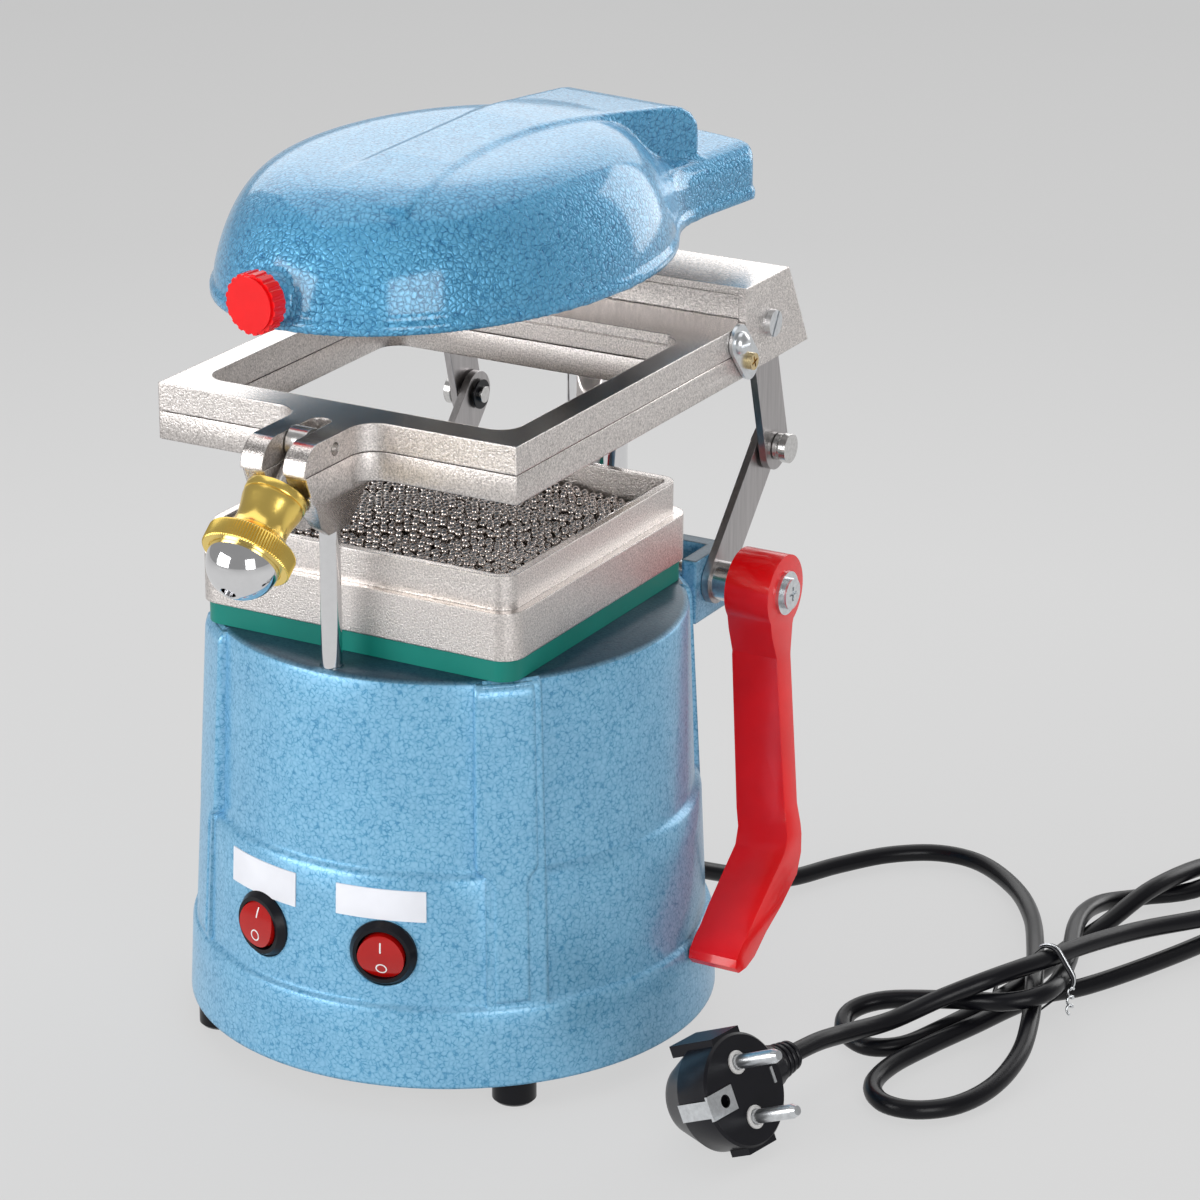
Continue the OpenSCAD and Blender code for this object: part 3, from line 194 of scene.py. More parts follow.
def coords(nt, scale=(1, 1, 1), rot=(0, 0, 0)):
    tc = nd(nt, "ShaderNodeTexCoord")
    mp = nd(nt, "ShaderNodeMapping")
    mp.inputs["Scale"].default_value = scale
    mp.inputs["Rotation"].default_value = rot
    nt.links.new(tc.outputs["Object"], mp.inputs["Vector"])
    return mp.outputs["Vector"]

def noise(nt, vec, scale, detail=3, rough=.5, dist=0):
    n = nd(nt, "ShaderNodeTexNoise")
    n.inputs["Scale"].default_value = scale
    n.inputs["Detail"].default_value = detail
    n.inputs["Roughness"].default_value = rough
    n.inputs["Distortion"].default_value = dist
    nt.links.new(vec, n.inputs["Vector"])
    return n.outputs["Fac"]

def ramp(nt, fac, stops):
    n = nd(nt, "ShaderNodeValToRGB")
    e = n.color_ramp.elements
    while len(e) < len(stops):
        e.new(.5)
    for k, (p, c) in enumerate(stops):
        e[k].position = p
        e[k].color = (*c, 1) if len(c) == 3 else c
    nt.links.new(fac, n.inputs["Fac"])
    return n.outputs["Color"]

def bump(nt, bsdf, height, strength, dist, edge=0):
    """Relief from a height; edge in metres rounds the corners seen in the shading."""
    b = nd(nt, "ShaderNodeBump")
    if edge:
        e = nd(nt, "ShaderNodeBevel", samples=6)
        e.inputs["Radius"].default_value = edge
        nt.links.new(e.outputs["Normal"], b.inputs["Normal"])
    b.inputs["Strength"].default_value = strength
    b.inputs["Distance"].default_value = dist
    nt.links.new(height, b.inputs["Height"])
    nt.links.new(b.outputs["Normal"], bsdf.inputs["Normal"])
    return b

def span(nt, fac, lo, hi):
    n = nd(nt, "ShaderNodeMapRange")
    n.inputs["To Min"].default_value = lo
    n.inputs["To Max"].default_value = hi
    nt.links.new(fac, n.inputs["Value"])
    return n.outputs["Result"]

def metal(name, color, rough, grain, bump_s=.2, var=.12, stretch=(1, 1, 1), metallic=1.0,
          dist=.0002, edge=0, ground_top=False):
    m, nt, b = newmat(name)
    v = coords(nt, stretch)
    n = noise(nt, v, grain, 4, .6)
    big = noise(nt, coords(nt), 18, 2, .5)
    c = [max(0, x * (1 - var)) for x in color], [min(1, x * (1 + var)) for x in color]
    nt.links.new(ramp(nt, n, [(.3, c[0]), (.7, c[1])]), b.inputs["Base Color"])
    b.inputs["Metallic"].default_value = metallic
    nt.links.new(span(nt, big, rough * .85, rough * 1.15), b.inputs["Roughness"])
    bp = bump(nt, b, n, bump_s, dist, edge)
    if ground_top:                     # level faces are ground smooth, upright ones keep the grain
        g = nd(nt, "ShaderNodeNewGeometry")
        z = nd(nt, "ShaderNodeSeparateXYZ")
        nt.links.new(g.outputs["Normal"], z.inputs[0])
        a = nd(nt, "ShaderNodeMath", operation="ABSOLUTE")
        nt.links.new(z.outputs["Z"], a.inputs[0])
        nt.links.new(span(nt, a.outputs[0], bump_s, bump_s * .12), bp.inputs["Strength"])
        nt.links.new(span(nt, a.outputs[0], rough, rough * .62), b.inputs["Roughness"])
    return m

def plastic(name, color, rough, grain=900, bump_s=.08, coat=0, var=.1, spec=.5, edge=0):
    m, nt, b = newmat(name)
    v = coords(nt)
    n = noise(nt, v, grain, 3, .5)
    c = [x * (1 - var) for x in color], [min(1, x * (1 + var)) for x in color]
    nt.links.new(ramp(nt, noise(nt, v, 40, 3), [(.3, c[0]), (.7, c[1])]), b.inputs["Base Color"])
    nt.links.new(span(nt, n, rough * .9, rough * 1.1), b.inputs["Roughness"])
    b.inputs["Coat Weight"].default_value = coat
    b.inputs["Coat Roughness"].default_value = .06
    b.inputs["Specular IOR Level"].default_value = spec
    bump(nt, b, n, bump_s, .0002, edge)
    return m

def hammertone(name, cell, stops, relief, depth, coat, edge, broken, metallic, painted_shade_top=1.0):
    """Hammer finish: pale cells of size cell (m) between thin broken veins."""
    m, nt, b = newmat(name)
    v = coords(nt)
    warp = nd(nt, "ShaderNodeTexNoise")
    warp.inputs["Scale"].default_value = .7 / cell
    warp.inputs["Detail"].default_value = 2
    nt.links.new(v, warp.inputs["Vector"])
    sub = nd(nt, "ShaderNodeVectorMath", operation="SCALE")
    sub.inputs["Scale"].default_value = cell * 1.1
    nt.links.new(warp.outputs["Color"], sub.inputs[0])
    add = nd(nt, "ShaderNodeVectorMath", operation="ADD")
    nt.links.new(v, add.inputs[0])
    nt.links.new(sub.outputs[0], add.inputs[1])
    vo = nd(nt, "ShaderNodeTexVoronoi", feature="DISTANCE_TO_EDGE")
    vo.inputs["Scale"].default_value = 1 / cell
    nt.links.new(add.outputs[0], vo.inputs["Vector"])
    gaps = noise(nt, v, .9 / cell, 3, .6)
    mix = nd(nt, "ShaderNodeMath", operation="MULTIPLY_ADD")
    mix.inputs[1].default_value = broken
    nt.links.new(gaps, mix.inputs[0])
    nt.links.new(vo.outputs["Distance"], mix.inputs[2])
    col = ramp(nt, mix.outputs[0], stops)
    cloud = noise(nt, v, 60, 2, .5)
    tint = nd(nt, "ShaderNodeMix", data_type="RGBA", blend_type="MULTIPLY")
    tint.inputs[0].default_value = 1
    nt.links.new(col, tint.inputs[6])
    nt.links.new(ramp(nt, cloud, [(.3, (.9, .92, .94)), (.7, (1, 1, 1))]), tint.inputs[7])
    out = tint.outputs[2]
    if painted_shade_top < 1:                    # painted shade: level faces are painted darker and get less coat, standing in for the shade under the tray and frames; a look, not a real difference in the paint
        g = nd(nt, "ShaderNodeNewGeometry")
        z = nd(nt, "ShaderNodeSeparateXYZ")
        nt.links.new(g.outputs["Normal"], z.inputs[0])
        shade = nd(nt, "ShaderNodeMix", data_type="RGBA", blend_type="MULTIPLY")
        shade.inputs[0].default_value = 1
        nt.links.new(out, shade.inputs[6])
        painted_shade_tint = (painted_shade_top * .6, painted_shade_top * .9, painted_shade_top)
        nt.links.new(ramp(nt, z.outputs["Z"], [(.86, (1, 1, 1)), (.97, painted_shade_tint)]), shade.inputs[7])
        out = shade.outputs[2]
        level = ramp(nt, z.outputs["Z"], [(.86, (0, 0, 0)), (.97, (1, 1, 1))])
        nt.links.new(span(nt, level, coat, coat * .15), b.inputs["Coat Weight"])
    nt.links.new(out, b.inputs["Base Color"])
    b.inputs["Coat Tint"].default_value = (.8, .91, 1, 1)
    b.inputs["Metallic"].default_value = metallic
    nt.links.new(span(nt, gaps, .28, .42), b.inputs["Roughness"])
    b.inputs["Coat Weight"].default_value = coat
    b.inputs["Coat Roughness"].default_value = .12
    h = ramp(nt, mix.outputs[0], [(stops[0][0], (0, 0, 0)), (stops[2][0], (.7, .7, .7)),
                                  (stops[3][0], (1, 1, 1))])
    bump(nt, b, h, relief, depth, edge)
    return m

M = dict(
    # the base's last argument (.16) paints shade on its level faces: painted shade under the tray and frames
    blue_paint=hammertone("hammertone_base", .0017,
                          [(.23, (.07, .28, .48)), (.31, (.12, .37, .58)),
                           (.41, (.225, .495, .70)), (.66, (.28, .56, .765))],
                          .13, .00025, .3, .0018, .62, .3, .16),
    head_paint=hammertone("hammertone_head", .0018,
                          [(.16, (.012, .14, .30)), (.24, (.05, .28, .48)),
                           (.36, (.12, .42, .64)), (.64, (.165, .50, .74))],
                          .6, .0006, .8, 0, .45, .3),
    dark_steel=metal("dark_steel", (.18, .18, .19), .4, 500),
    black_rubber=plastic("black_rubber", (.005, .005, .007), .3, 700, .06, spec=.22),
    zinc=metal("zinc", (.72, .74, .76), .28, 600, .1),
    motor_grey=metal("motor_grey", (.32, .32, .33), .5, 300, .2, metallic=.2),
    fan_metal=metal("fan_metal", (.66, .66, .67), .35, 400),
    black_plastic=plastic("black_plastic", (.006, .006, .009), .3, 1200, .08, spec=.25),
    red_lens=plastic("red_lens", (.42, .004, .003), .16, 300, .02, .1),
    teal_rubber=plastic("teal_rubber", (.004, .20, .16), .4, 500, .08, spec=.3),
    satin_nickel=metal("satin_nickel", (.72, .665, .64), .3, 1700, .95, .42, dist=.00022,
                       edge=.0007, ground_top=True),
    steel_beads=metal("steel_beads", (.60, .55, .52), .1, 250, .05, .15),
    chrome_bar=metal("chrome_bar", (.80, .80, .81), .07, 300, .01, .02),
    turned_steel=metal("turned_steel", (.66, .65, .64), .22, 900, .1, edge=.0003),
    brushed_link=metal("brushed_link", (.44, .42, .42), .3, 700, .25, .12, (1, 1, .06), edge=.0003),
    red_gloss=plastic("red_gloss", (.88, .003, .006), .22, 250, .03, .3, spec=.35),
    gold_anodised=metal("gold_anodised", (1.0, .73, .19), .24, 900, .08, .0),
    brass_bush=metal("brass_bush", (.70, .55, .30), .25, 700, .1),
    reflector_metal=metal("reflector_metal", (.8, .8, .8), .2, 500, .1),
    heater_tube=metal("heater_tube", (.16, .15, .15), .45, 500),
    ceramic=plastic("ceramic", (.75, .74, .7), .6, 500),
)
slot_of = {s["node"]: s["material_slot"] for s in frame["record"]["subparts"]}
body_of = {n: b for b, ns in frame["record"]["behaviour"]["bodies"].items() for n in ns}

def dress(name, bevel=0, seg=2, angle=32, mat=None):
    """The CAD node keeps its mesh and gets its finish, a welded surface and soft edges."""
    o = N[name]
    o.data.materials.clear()
    o.data.materials.append(mat or M[slot_of[name]])
    w = o.modifiers.new("weld", "WELD")
    w.merge_threshold = 2e-6
    if bevel:
        b = o.modifiers.new("bevel", "BEVEL")
        b.width = bevel
        b.segments = seg
        b.limit_method = "ANGLE"
        b.angle_limit = math.radians(angle)
        b.use_clamp_overlap = True
        b.harden_normals = False
    for p in o.data.polygons:
        p.use_smooth = True
    s = o.modifiers.new("sharp", "EDGE_SPLIT")
    s.split_angle = math.radians(angle + (14 if bevel else 0))
    return o

for n in N:
    dress(n)

def obj(name, me, body, mat, slot=None):
    o = bpy.data.objects.new(name, me)
    scene.collection.objects.link(o)
    if mat:
        o.data.materials.append(mat)
    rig.ride(o, body)
    if slot:
        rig.slot(o, slot)
    return o

def solid(name, V, F, soft=False):
    """Mesh from lists of points (metres) and faces, shaded smooth where soft."""
    me = bpy.data.meshes.new(name)
    me.from_pydata(V, [], F)
    me.update()
    for q in me.polygons:
        q.use_smooth = soft
    return me

# ---------------------------------------------------------------- mains lead
way = [(42, 104, 17.5), (52, 124, 9), (61.5, 139.5, 4.5), (71, 161, 3.5), (83.5, 179.5, 3.5),
       (99.5, 190.5, 3.5), (117.5, 189.5, 3.5), (138.5, 173.5, 4), (156, 148.5, 6.5),
       (171.5, 116.5, 10.8), (184.5, 86, 12.6), (193, 63.5, 9), (198, 43.5, 6), (198.5, 22, 4),
       (193.5, 4, 3.5), (183, -6.5, 3.5), (171, -7, 3.5), (162.5, 3, 3.5), (162, 19, 4),
       (167.5, 39.5, 4.5), (174, 59.5, 4.8), (179.5, 77.5, 5.2), (185, 93, 5), (193.5, 109, 3.5),
       (205, 133.5, 3.5), (216.5, 164, 3.5), (226.5, 198.5, 3.5), (230, 224.5, 4),
       (216.5, 240, 3.5), (197.5, 226.5, 7), (189.5, 185, 12), (181, 157, 5.5), (176, 136.5, 3.5),
       (175.5, 116.5, 3.8), (175, 95.5, 5), (170.5, 73.5, 4.4), (164, 52.5, 3.5), (158, 35, 3.5),
       (147.5, 28.5, 3.5), (137, 33.5, 4.5), (133.5, 44.5, 6.5), (142.5, 54.5, 9),
       (166, 59.5, 12.5), (186, 62, 15.5), (195, 75.5, 16.5), (188, 107.5, 13), (176, 144, 11),
       (172.5, 172.5, 6), (181.5, 191, 3.5), (199, 209.5, 4.5), (215, 244.5, 13.5), (236, 259, 12),
       (249, 241, 10.5), (239, 206.5, 10.5), (217.5, 168.5, 12.5), (202.5, 138, 16), (194, 109, 20),
       (188, 84, 22.5), (179, 63, 22.5), (165.5, 50, 17), (154, 33.5, 12.5), (147, 14, 14.5),
       (143.6, -1, 16.8), (141.25, -15.67, 17.85)]

def catmull(P, n):
    P = np.array(P, float)
    out = []
    for i in range(len(P) - 1):
        a, b, c, d = P[max(i - 1, 0)], P[i], P[i + 1], P[min(i + 2, len(P) - 1)]
        for j in range(n):
            t = j / n
            out.append(.5 * (2 * b + (c - a) * t + (2 * a - 5 * b + 4 * c - d) * t * t
                             + (3 * b - a - 3 * c + d) * t ** 3))
    return np.array(out + [P[-1]])

line = catmull(way, 6) / 1000
cu = bpy.data.curves.new("mains_lead", "CURVE")
cu.dimensions = "3D"
cu.bevel_depth = .00325
cu.bevel_resolution = 5
cu.use_fill_caps = True
sp = cu.splines.new("POLY")
sp.points.add(len(line) - 1)
for k, p in enumerate(line):
    sp.points[k].co = (*p, 1)
sp.use_smooth = True
lead = obj("mains_lead", cu, "base", M["black_rubber"], "black_rubber")
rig.replaces(lead, "cord_run", "cord_hank", "cord_lead")
length = float(np.linalg.norm(np.diff(line, axis=0), axis=1).sum())

# ---------------------------------------------------------------- twist tie
def tube(name, pts, rad, body, mat, slot, res=3, cyclic=False):
    c = bpy.data.curves.new(name, "CURVE")
    c.dimensions = "3D"
    c.bevel_depth = rad
    c.bevel_resolution = res
    c.use_fill_caps = True
    q = c.splines.new("POLY")
    q.points.add(len(pts) - 1)
    for k, p in enumerate(pts):
        q.points[k].co = (*p, 1)
    q.use_cyclic_u = cyclic
    q.use_smooth = True
    return obj(name, c, body, mat, slot)

def hull_loop(ring, rad):
    """Outline of a belt drawn round the strands: their common hull, rad outside each strand."""
    turn = [2 * math.pi * k / 48 for k in range(48)]
    cand = [Vector((x + rad * math.cos(a), z + rad * math.sin(a))) for x, z in ring for a in turn]
    cand.sort(key=lambda p: (p.x, p.y))
    def half(pts):
        h = []
        for p in pts:
            while len(h) > 1 and (h[-1] - h[-2]).cross(p - h[-2]) <= 0:
                h.pop()
            h.append(p)
        return h[:-1]
    return half(cand) + half(cand[::-1])

tie_at = [(183.9, 12.4), (183.3, 5.1), (173.6, 5), (193.6, 15.5), (189, 22.1)]
belt = hull_loop(tie_at, 4.35)
V, F = [], []
nb = len(belt)
for (y, off) in ((86.3, 0), (86.3, .7), (89.7, .7), (89.7, 0)):
    cx, cz = sum(p.x for p in belt) / nb, sum(p.y for p in belt) / nb
    for p in belt:
        d = Vector((p.x - cx, p.y - cz)).normalized()
        V.append(((p.x + d.x * off) / 1000, y / 1000, max(p.y + d.y * off, .4) / 1000))
for j in range(4):
    for k in range(nb):
        F.append((j * nb + k, j * nb + (k + 1) % nb,
                  (j + 1) % 4 * nb + (k + 1) % nb, (j + 1) % 4 * nb + k))
tie = obj("twist_tie", solid("twist_tie", V, F), "base", M["black_plastic"], "black_plastic")
tie.modifiers.new("bevel", "BEVEL").width = .0002
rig.replaces(tie, "cord_tie")
wire = [(p.x / 1000, .088, p.y / 1000) for p in hull_loop(tie_at, 5.25) if p.y > 9]
tube("tie_wire", wire, .00035, "base", M["zinc"], "zinc")
tw = []
for k in range(60):
    t = k / 59
    c0 = Vector((.1975 + .004 * t, .088 - .010 * t, .0125 - .004 * t))
    a = t * 5.5 * math.pi
    tw.append(c0 + Vector((math.cos(a) * .0011, 0, math.sin(a) * .0011)))
tube("tie_twist", tw, .00045, "base", M["zinc"], "zinc")

# ---------------------------------------------------------------- bead bed
def beads():
    rng = np.random.default_rng(7)
    half, d = 53.9, 2.85           # half the tray's inside, size of a bead (mm)
    cx, cy = 0, -2.2
    def top(x, y):
        return (176.5 + 6.2 * math.exp(-((x + 22) ** 2 + (y + 4) ** 2) / 1400)
                + 1.6 * math.sin(x * .09 + 1) * math.cos(y * .11))
    pts = []
    for layer in range(3):
        step = d * 1.02
        ny = int(2 * half / (step * .866)) + 1
        for j in range(ny):
            for i in range(int(2 * half / step) + 1):
                x = -half + i * step + (j + layer) % 2 * step / 2 + rng.normal() * .34
                y = -half + j * step * .866 + rng.normal() * .34
                if abs(x) > half or abs(y) > half:
                    continue
                z = top(x, y) - layer * 2.1 + rng.normal() * .42
                pts.append((x + cx, y + cy, z, d / 2 * rng.uniform(.93, 1.04)))
    bm0 = bmesh.new()
    bmesh.ops.create_icosphere(bm0, subdivisions=2, radius=1)
    V = np.array([v.co for v in bm0.verts])
    F = np.array([[v.index for v in f.verts] for f in bm0.faces])
    bm0.free()
    P = np.array(pts)
    verts = (V[None] * P[:, None, 3:4] + P[:, None, :3]).reshape(-1, 3) / 1000
    faces = (F[None] + (np.arange(len(P)) * len(V))[:, None, None]).reshape(-1, 3)
    me = bpy.data.meshes.new("bead_heap")
    me.vertices.add(len(verts)); me.vertices.foreach_set("co", verts.ravel())
    me.loops.add(faces.size); me.loops.foreach_set("vertex_index", faces.ravel())
    me.polygons.add(len(faces)); me.polygons.foreach_set("loop_start", np.arange(0, faces.size, 3))
    me.polygons.foreach_set("loop_total", np.full(len(faces), 3))
    me.polygons.foreach_set("use_smooth", np.ones(len(faces), bool))
    me.update(); me.validate()
    o = obj("bead_heap", me, "base", M["steel_beads"], "steel_beads")
    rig.replaces(o, "bead_bed")
beads()

# ---------------------------------------------------------------- smooth cast skins
def nets(fun, lo, hi, step):
    """Mesh of the surface fun = 0 (fun < 0 inside) by surface nets; lo, hi, step in mm."""
    ax = [np.arange(lo[i], hi[i] + step, step) for i in range(3)]
    X, Y, Z = np.meshgrid(*ax, indexing="ij")
    f = fun(X, Y, Z)
    g = np.gradient(f, step)
    f = f / np.maximum(np.sqrt(g[0] ** 2 + g[1] ** 2 + g[2] ** 2), 1e-6)
    f = np.clip(f, -4 * step, 4 * step)
    g = np.gradient(f, step)
    n = f.shape
    cs = tuple(k - 1 for k in n)
    acc = np.zeros(cs + (3,))
    cnt = np.zeros(cs)
    corner = lambda a, dx, dy, dz: a[dx:cs[0] + dx, dy:cs[1] + dy, dz:cs[2] + dz]
    for a in range(3):
        o1, o2 = [b for b in range(3) if b != a]
        for i in (0, 1):
            for j in (0, 1):
                d = [0, 0, 0]
                d[o1], d[o2] = i, j
                e = list(d)
                e[a] = 1
                fa, fb = corner(f, *d), corner(f, *e)
                m = (fa < 0) != (fb < 0)
                t = np.where(m, fa / np.where(m, fa - fb, 1), 0)
                pos = [d[0] * 1.0, d[1] * 1.0, d[2] * 1.0]
                for c in range(3):
                    acc[..., c] += np.where(m, pos[c] + (t if c == a else 0), 0)
                cnt += m
    on = cnt > 0
    idx = -np.ones(cs, int)
    idx[on] = np.arange(on.sum())
    P = np.argwhere(on) + acc[on] / cnt[on][:, None]
    F = []
    for a in range(3):
        o1, o2 = [b for b in range(3) if b != a]
        sl0 = [slice(1, k - 1) for k in n]
        sl0[a] = slice(0, n[a] - 1)
        sl1 = list(sl0)
        sl1[a] = slice(1, n[a])
        fa, fb = f[tuple(sl0)] < 0, f[tuple(sl1)] < 0
        E = np.argwhere(fa != fb)
        inside = fa[tuple(E.T)]
        base = E.copy()
        base[:, o1] += 1
        base[:, o2] += 1
        q = []
        for (i, j) in ((1, 1), (0, 1), (0, 0), (1, 0)):
            c = base.copy()
            c[:, o1] -= i
            c[:, o2] -= j
            q.append(idx[tuple(c.T)])
        q = np.stack(q, 1)
        flip = inside if a != 1 else ~inside
        q[~flip] = q[~flip][:, ::-1]
        F.append(q)
    F = np.concatenate(F)
    F = F[(F >= 0).all(1)]
    def sample(A, P):
        i = np.clip(P.astype(int), 0, np.array(n) - 2)
        t = P - i
        out = 0
        for dx in (0, 1):
            for dy in (0, 1):
                for dz in (0, 1):
                    wgt = ((t[:, 0] if dx else 1 - t[:, 0]) * (t[:, 1] if dy else 1 - t[:, 1])
                           * (t[:, 2] if dz else 1 - t[:, 2]))
                    out = out + wgt * A[i[:, 0] + dx, i[:, 1] + dy, i[:, 2] + dz]
        return out
    for _ in range(3):
        v = sample(f, P)
        G = np.stack([sample(k, P) for k in g], 1)
        G /= np.maximum(np.linalg.norm(G, axis=1), .3)[:, None]
        P -= np.clip(v, -step / 3, step / 3)[:, None] * G / step
    return P * step + np.array(lo), F

def mesh_from(name, P, F, place=None):
    if place is not None:
        P = (np.array(place.to_3x3()) @ P.T).T + np.array(place.translation) * 1000
    me = bpy.data.meshes.new(name)
    me.vertices.add(len(P)); me.vertices.foreach_set("co", (P / 1000).ravel())
    me.loops.add(F.size); me.loops.foreach_set("vertex_index", F.ravel())
    me.polygons.add(len(F)); me.polygons.foreach_set("loop_start", np.arange(0, F.size, F.shape[1]))
    me.polygons.foreach_set("loop_total", np.full(len(F), F.shape[1]))
    me.polygons.foreach_set("use_smooth", np.ones(len(F), bool))
    me.update(); me.validate()
    return me

def smin(a, b, k):
    h = np.clip(.5 + .5 * (b - a) / k, 0, 1)
    return b * (1 - h) + a * h - k * h * (1 - h)

def smax(a, b, k):
    return -smin(-a, -b, k)

def poly_sdf(px, py, poly):
    """Signed distance to a polygon, negative inside."""
    d = np.full(px.shape, 1e9)
    s = np.zeros(px.shape, bool)
    m = len(poly)
    for i in range(m):
        ax_, ay_ = poly[i]
        bx_, by_ = poly[(i + 1) % m]
        ex, ey = bx_ - ax_, by_ - ay_
        wx, wy = px - ax_, py - ay_
        t = np.clip((wx * ex + wy * ey) / (ex * ex + ey * ey), 0, 1)
        d = np.minimum(d, (wx - ex * t) ** 2 + (wy - ey * t) ** 2)
        c = (ay_ > py) != (by_ > py)
        with np.errstate(divide="ignore", invalid="ignore"):
            xi = ax_ + (py - ay_) / (by_ - ay_ if by_ != ay_ else 1e-9) * ex
        s ^= c & (px < xi)
    return np.where(s, -1, 1) * np.sqrt(d)

arm_plan = [(-24.5, 19.5), (-23, 7), (-21, -20), (-19.6, -34), (-15, -60), (-11, -86), (-7, -113),
            (-4, -137), (4, -148), (18, -152), (31, -148), (30, -138), (27.3, -127), (24, -115),
            (19.1, -98), (15.1, -77), (14.2, -59), (15.5, -44), (18, -30), (22, -12), (27, 7),
            (30, 19.5)]
arm_side = [(19.5, 291), (18.8, 294.5), (16, 298.2), (12, 300.6), (7, 301.5), (-20, 303.6),
            (-50, 305.2), (-110, 305), (-135, 302.8), (-153, 299), (-153, 282), (-2, 272),
            (19.5, 279)]

def rbox(X, Y, cx, cy, hx, hy, r):
    qx, qy = np.abs(X - cx) - hx + r, np.abs(Y - cy) - hy + r
    return (np.sqrt(np.maximum(qx, 0) ** 2 + np.maximum(qy, 0) ** 2)
            + np.minimum(np.maximum(qx, qy), 0) - r)

def head_fun(X, Y, Z):
    def crown(a, b, top, z0=268.5):
        rho = np.sqrt((X / a) ** 2 + ((Y + 85.4) / b) ** 2)
        G = rho ** 7.6 + (np.maximum(Z - z0, 0) / top) ** 1.2107 - 1
        dr = (7.6 * np.maximum(rho, .02) ** 6.6
              * np.sqrt((X / a ** 2) ** 2 + ((Y + 85.4) / b ** 2) ** 2) / np.maximum(rho, .02))
        dz = 1.2107 / top * (np.maximum(Z - z0, 1e-3) / top) ** .2107 * (Z > z0)
        return G / np.maximum(np.sqrt(dr ** 2 + dz ** 2), .02)
    def step(lo, hi):
        t = np.clip((Z - lo) / (hi - lo), 0, 1)
        return t * t * (3 - 2 * t)
    tuck = step(265.2, 266.9)                     # the rim lip stands proud of the wall
    dome = crown(67.6 * (1 - .021 * tuck), 94.8 * (1 - .015 * tuck), 35.7)
    pl = poly_sdf(X[:, :, 0], Y[:, :, 0], arm_plan)[:, :, None]
    sd = poly_sdf(Y[0], Z[0], arm_side)[None]
    ridge = smax(pl + 0 * Z, sd + 0 * X, 2.2)
    crest = 2.2 * np.clip(1 - (X / 40) ** 2, 0, 1) * (Z > 270)
    nk = smax(rbox(X, Y, 0, 12, 37, 37, 7.5) + tuck, rbox(X, Z - crest, 0, 262, 37, 19, 9), 2)
    body = smin(dome, nk, 12)
    body = smin(body, ridge, 2.6)
    sock = np.sqrt(X ** 2 + (Z - 272) ** 2) - 7.5
    sock = np.maximum(np.maximum(sock, Y + 172), -Y - 180.5)
    body = smin(body, sock, 2)
    inner = smin(crown(63.2, 90.6, 33.5, 265.9),
                 smax(rbox(X, Y, 0, 12, 32.6, 32.6, 5), rbox(X, Z, 0, 259, 32.6, 18.2, 6), 1.5), 4)
    body = np.maximum(body, -inner)
    return np.maximum(body, 262 - Z)

on_head = Matrix.Translation((0, .102, 0)) @ Matrix.Rotation(math.radians(-6.8), 4, "Z")
P, F = nets(head_fun, (-70, -186, 260), (70, 51, 308), 1.25 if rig.quick() else 1.0)
head = obj("head_skin", mesh_from("head_skin", P, F, on_head), body_of["head_cover"],
           M["head_paint"], "blue_paint")
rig.replaces(head, "head_cover")

# ---------------------------------------------------------------- skins over CAD nodes
def skin(name, node, bevel, seg=3, angle=25, weld=2e-5):
    """A softened copy of a node's solid: welded, its flat faces joined, its edges rounded."""
    src = N[node]
    me = src.data.copy()
    o = obj(name, me, body_of[node], None, slot_of[node])
    me.materials.clear()
    me.materials.append(M[slot_of[node]])
    bm = bmesh.new()
    bm.from_mesh(me)
    bmesh.ops.remove_doubles(bm, verts=bm.verts, dist=weld)
    bmesh.ops.dissolve_limit(bm, angle_limit=math.radians(1.0), verts=bm.verts, edges=bm.edges)
    bm.to_mesh(me)
    bm.free()
    b = o.modifiers.new("bevel", "BEVEL")
    b.width = bevel
    b.segments = seg
    b.limit_method = "ANGLE"
    b.angle_limit = math.radians(angle)
    b.use_clamp_overlap = True
    for p in me.polygons:
        p.use_smooth = True
    e = o.modifiers.new("sharp", "EDGE_SPLIT")
    e.split_angle = math.radians(40)
    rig.replaces(o, node)
    return o

skin("lever_skin", "lever", .0036, 4)

def carve(o, prisms):
    """Cut closed prisms (lists of bottom and top corners, world metres) out of a skin."""
    cutters = []
    for k, (low, high) in enumerate(prisms):
        n = len(low)
        me = bpy.data.meshes.new("cut")
        sides = [(i, (i + 1) % n, n + (i + 1) % n, n + i) for i in range(n)]
        me.from_pydata(low + high, [], [tuple(range(n))[::-1], tuple(range(n, 2 * n))] + sides)
        bm = bmesh.new()
        bm.from_mesh(me)
        bmesh.ops.recalc_face_normals(bm, faces=bm.faces)
        bm.to_mesh(me)
        bm.free()
        c = bpy.data.objects.new("cut", me)
        scene.collection.objects.link(c)
        cutters.append(c)
        b = o.modifiers.new("cut", "BOOLEAN")
        b.operation, b.solver, b.object = "DIFFERENCE", "EXACT", c
    kept = [m for m in o.modifiers if m.type != "BOOLEAN"]
    for m in kept:
        m.show_viewport = False
    bpy.context.view_layer.update()
    me = bpy.data.meshes.new_from_object(o.evaluated_get(bpy.context.evaluated_depsgraph_get()))
    for m in kept:
        m.show_viewport = True
    for m in [m for m in o.modifiers if m.type == "BOOLEAN"]:
        o.modifiers.remove(m)
    o.data = me
    for q in me.polygons:
        q.use_smooth = True
    for c in cutters:
        bpy.data.objects.remove(c)

frame_skin = skin("lower_frame_skin", "lower_frame", .0004, 2)
taper = [(12.6, 215.6), (5.4, 198.4), (5.4, 190), (14, 190), (14, 215.6)]
prisms = [tuple([(sg * x / 1000, y, z / 1000) for x, z in taper] for y in (-.112, -.0702))
          for sg in (1, -1)]
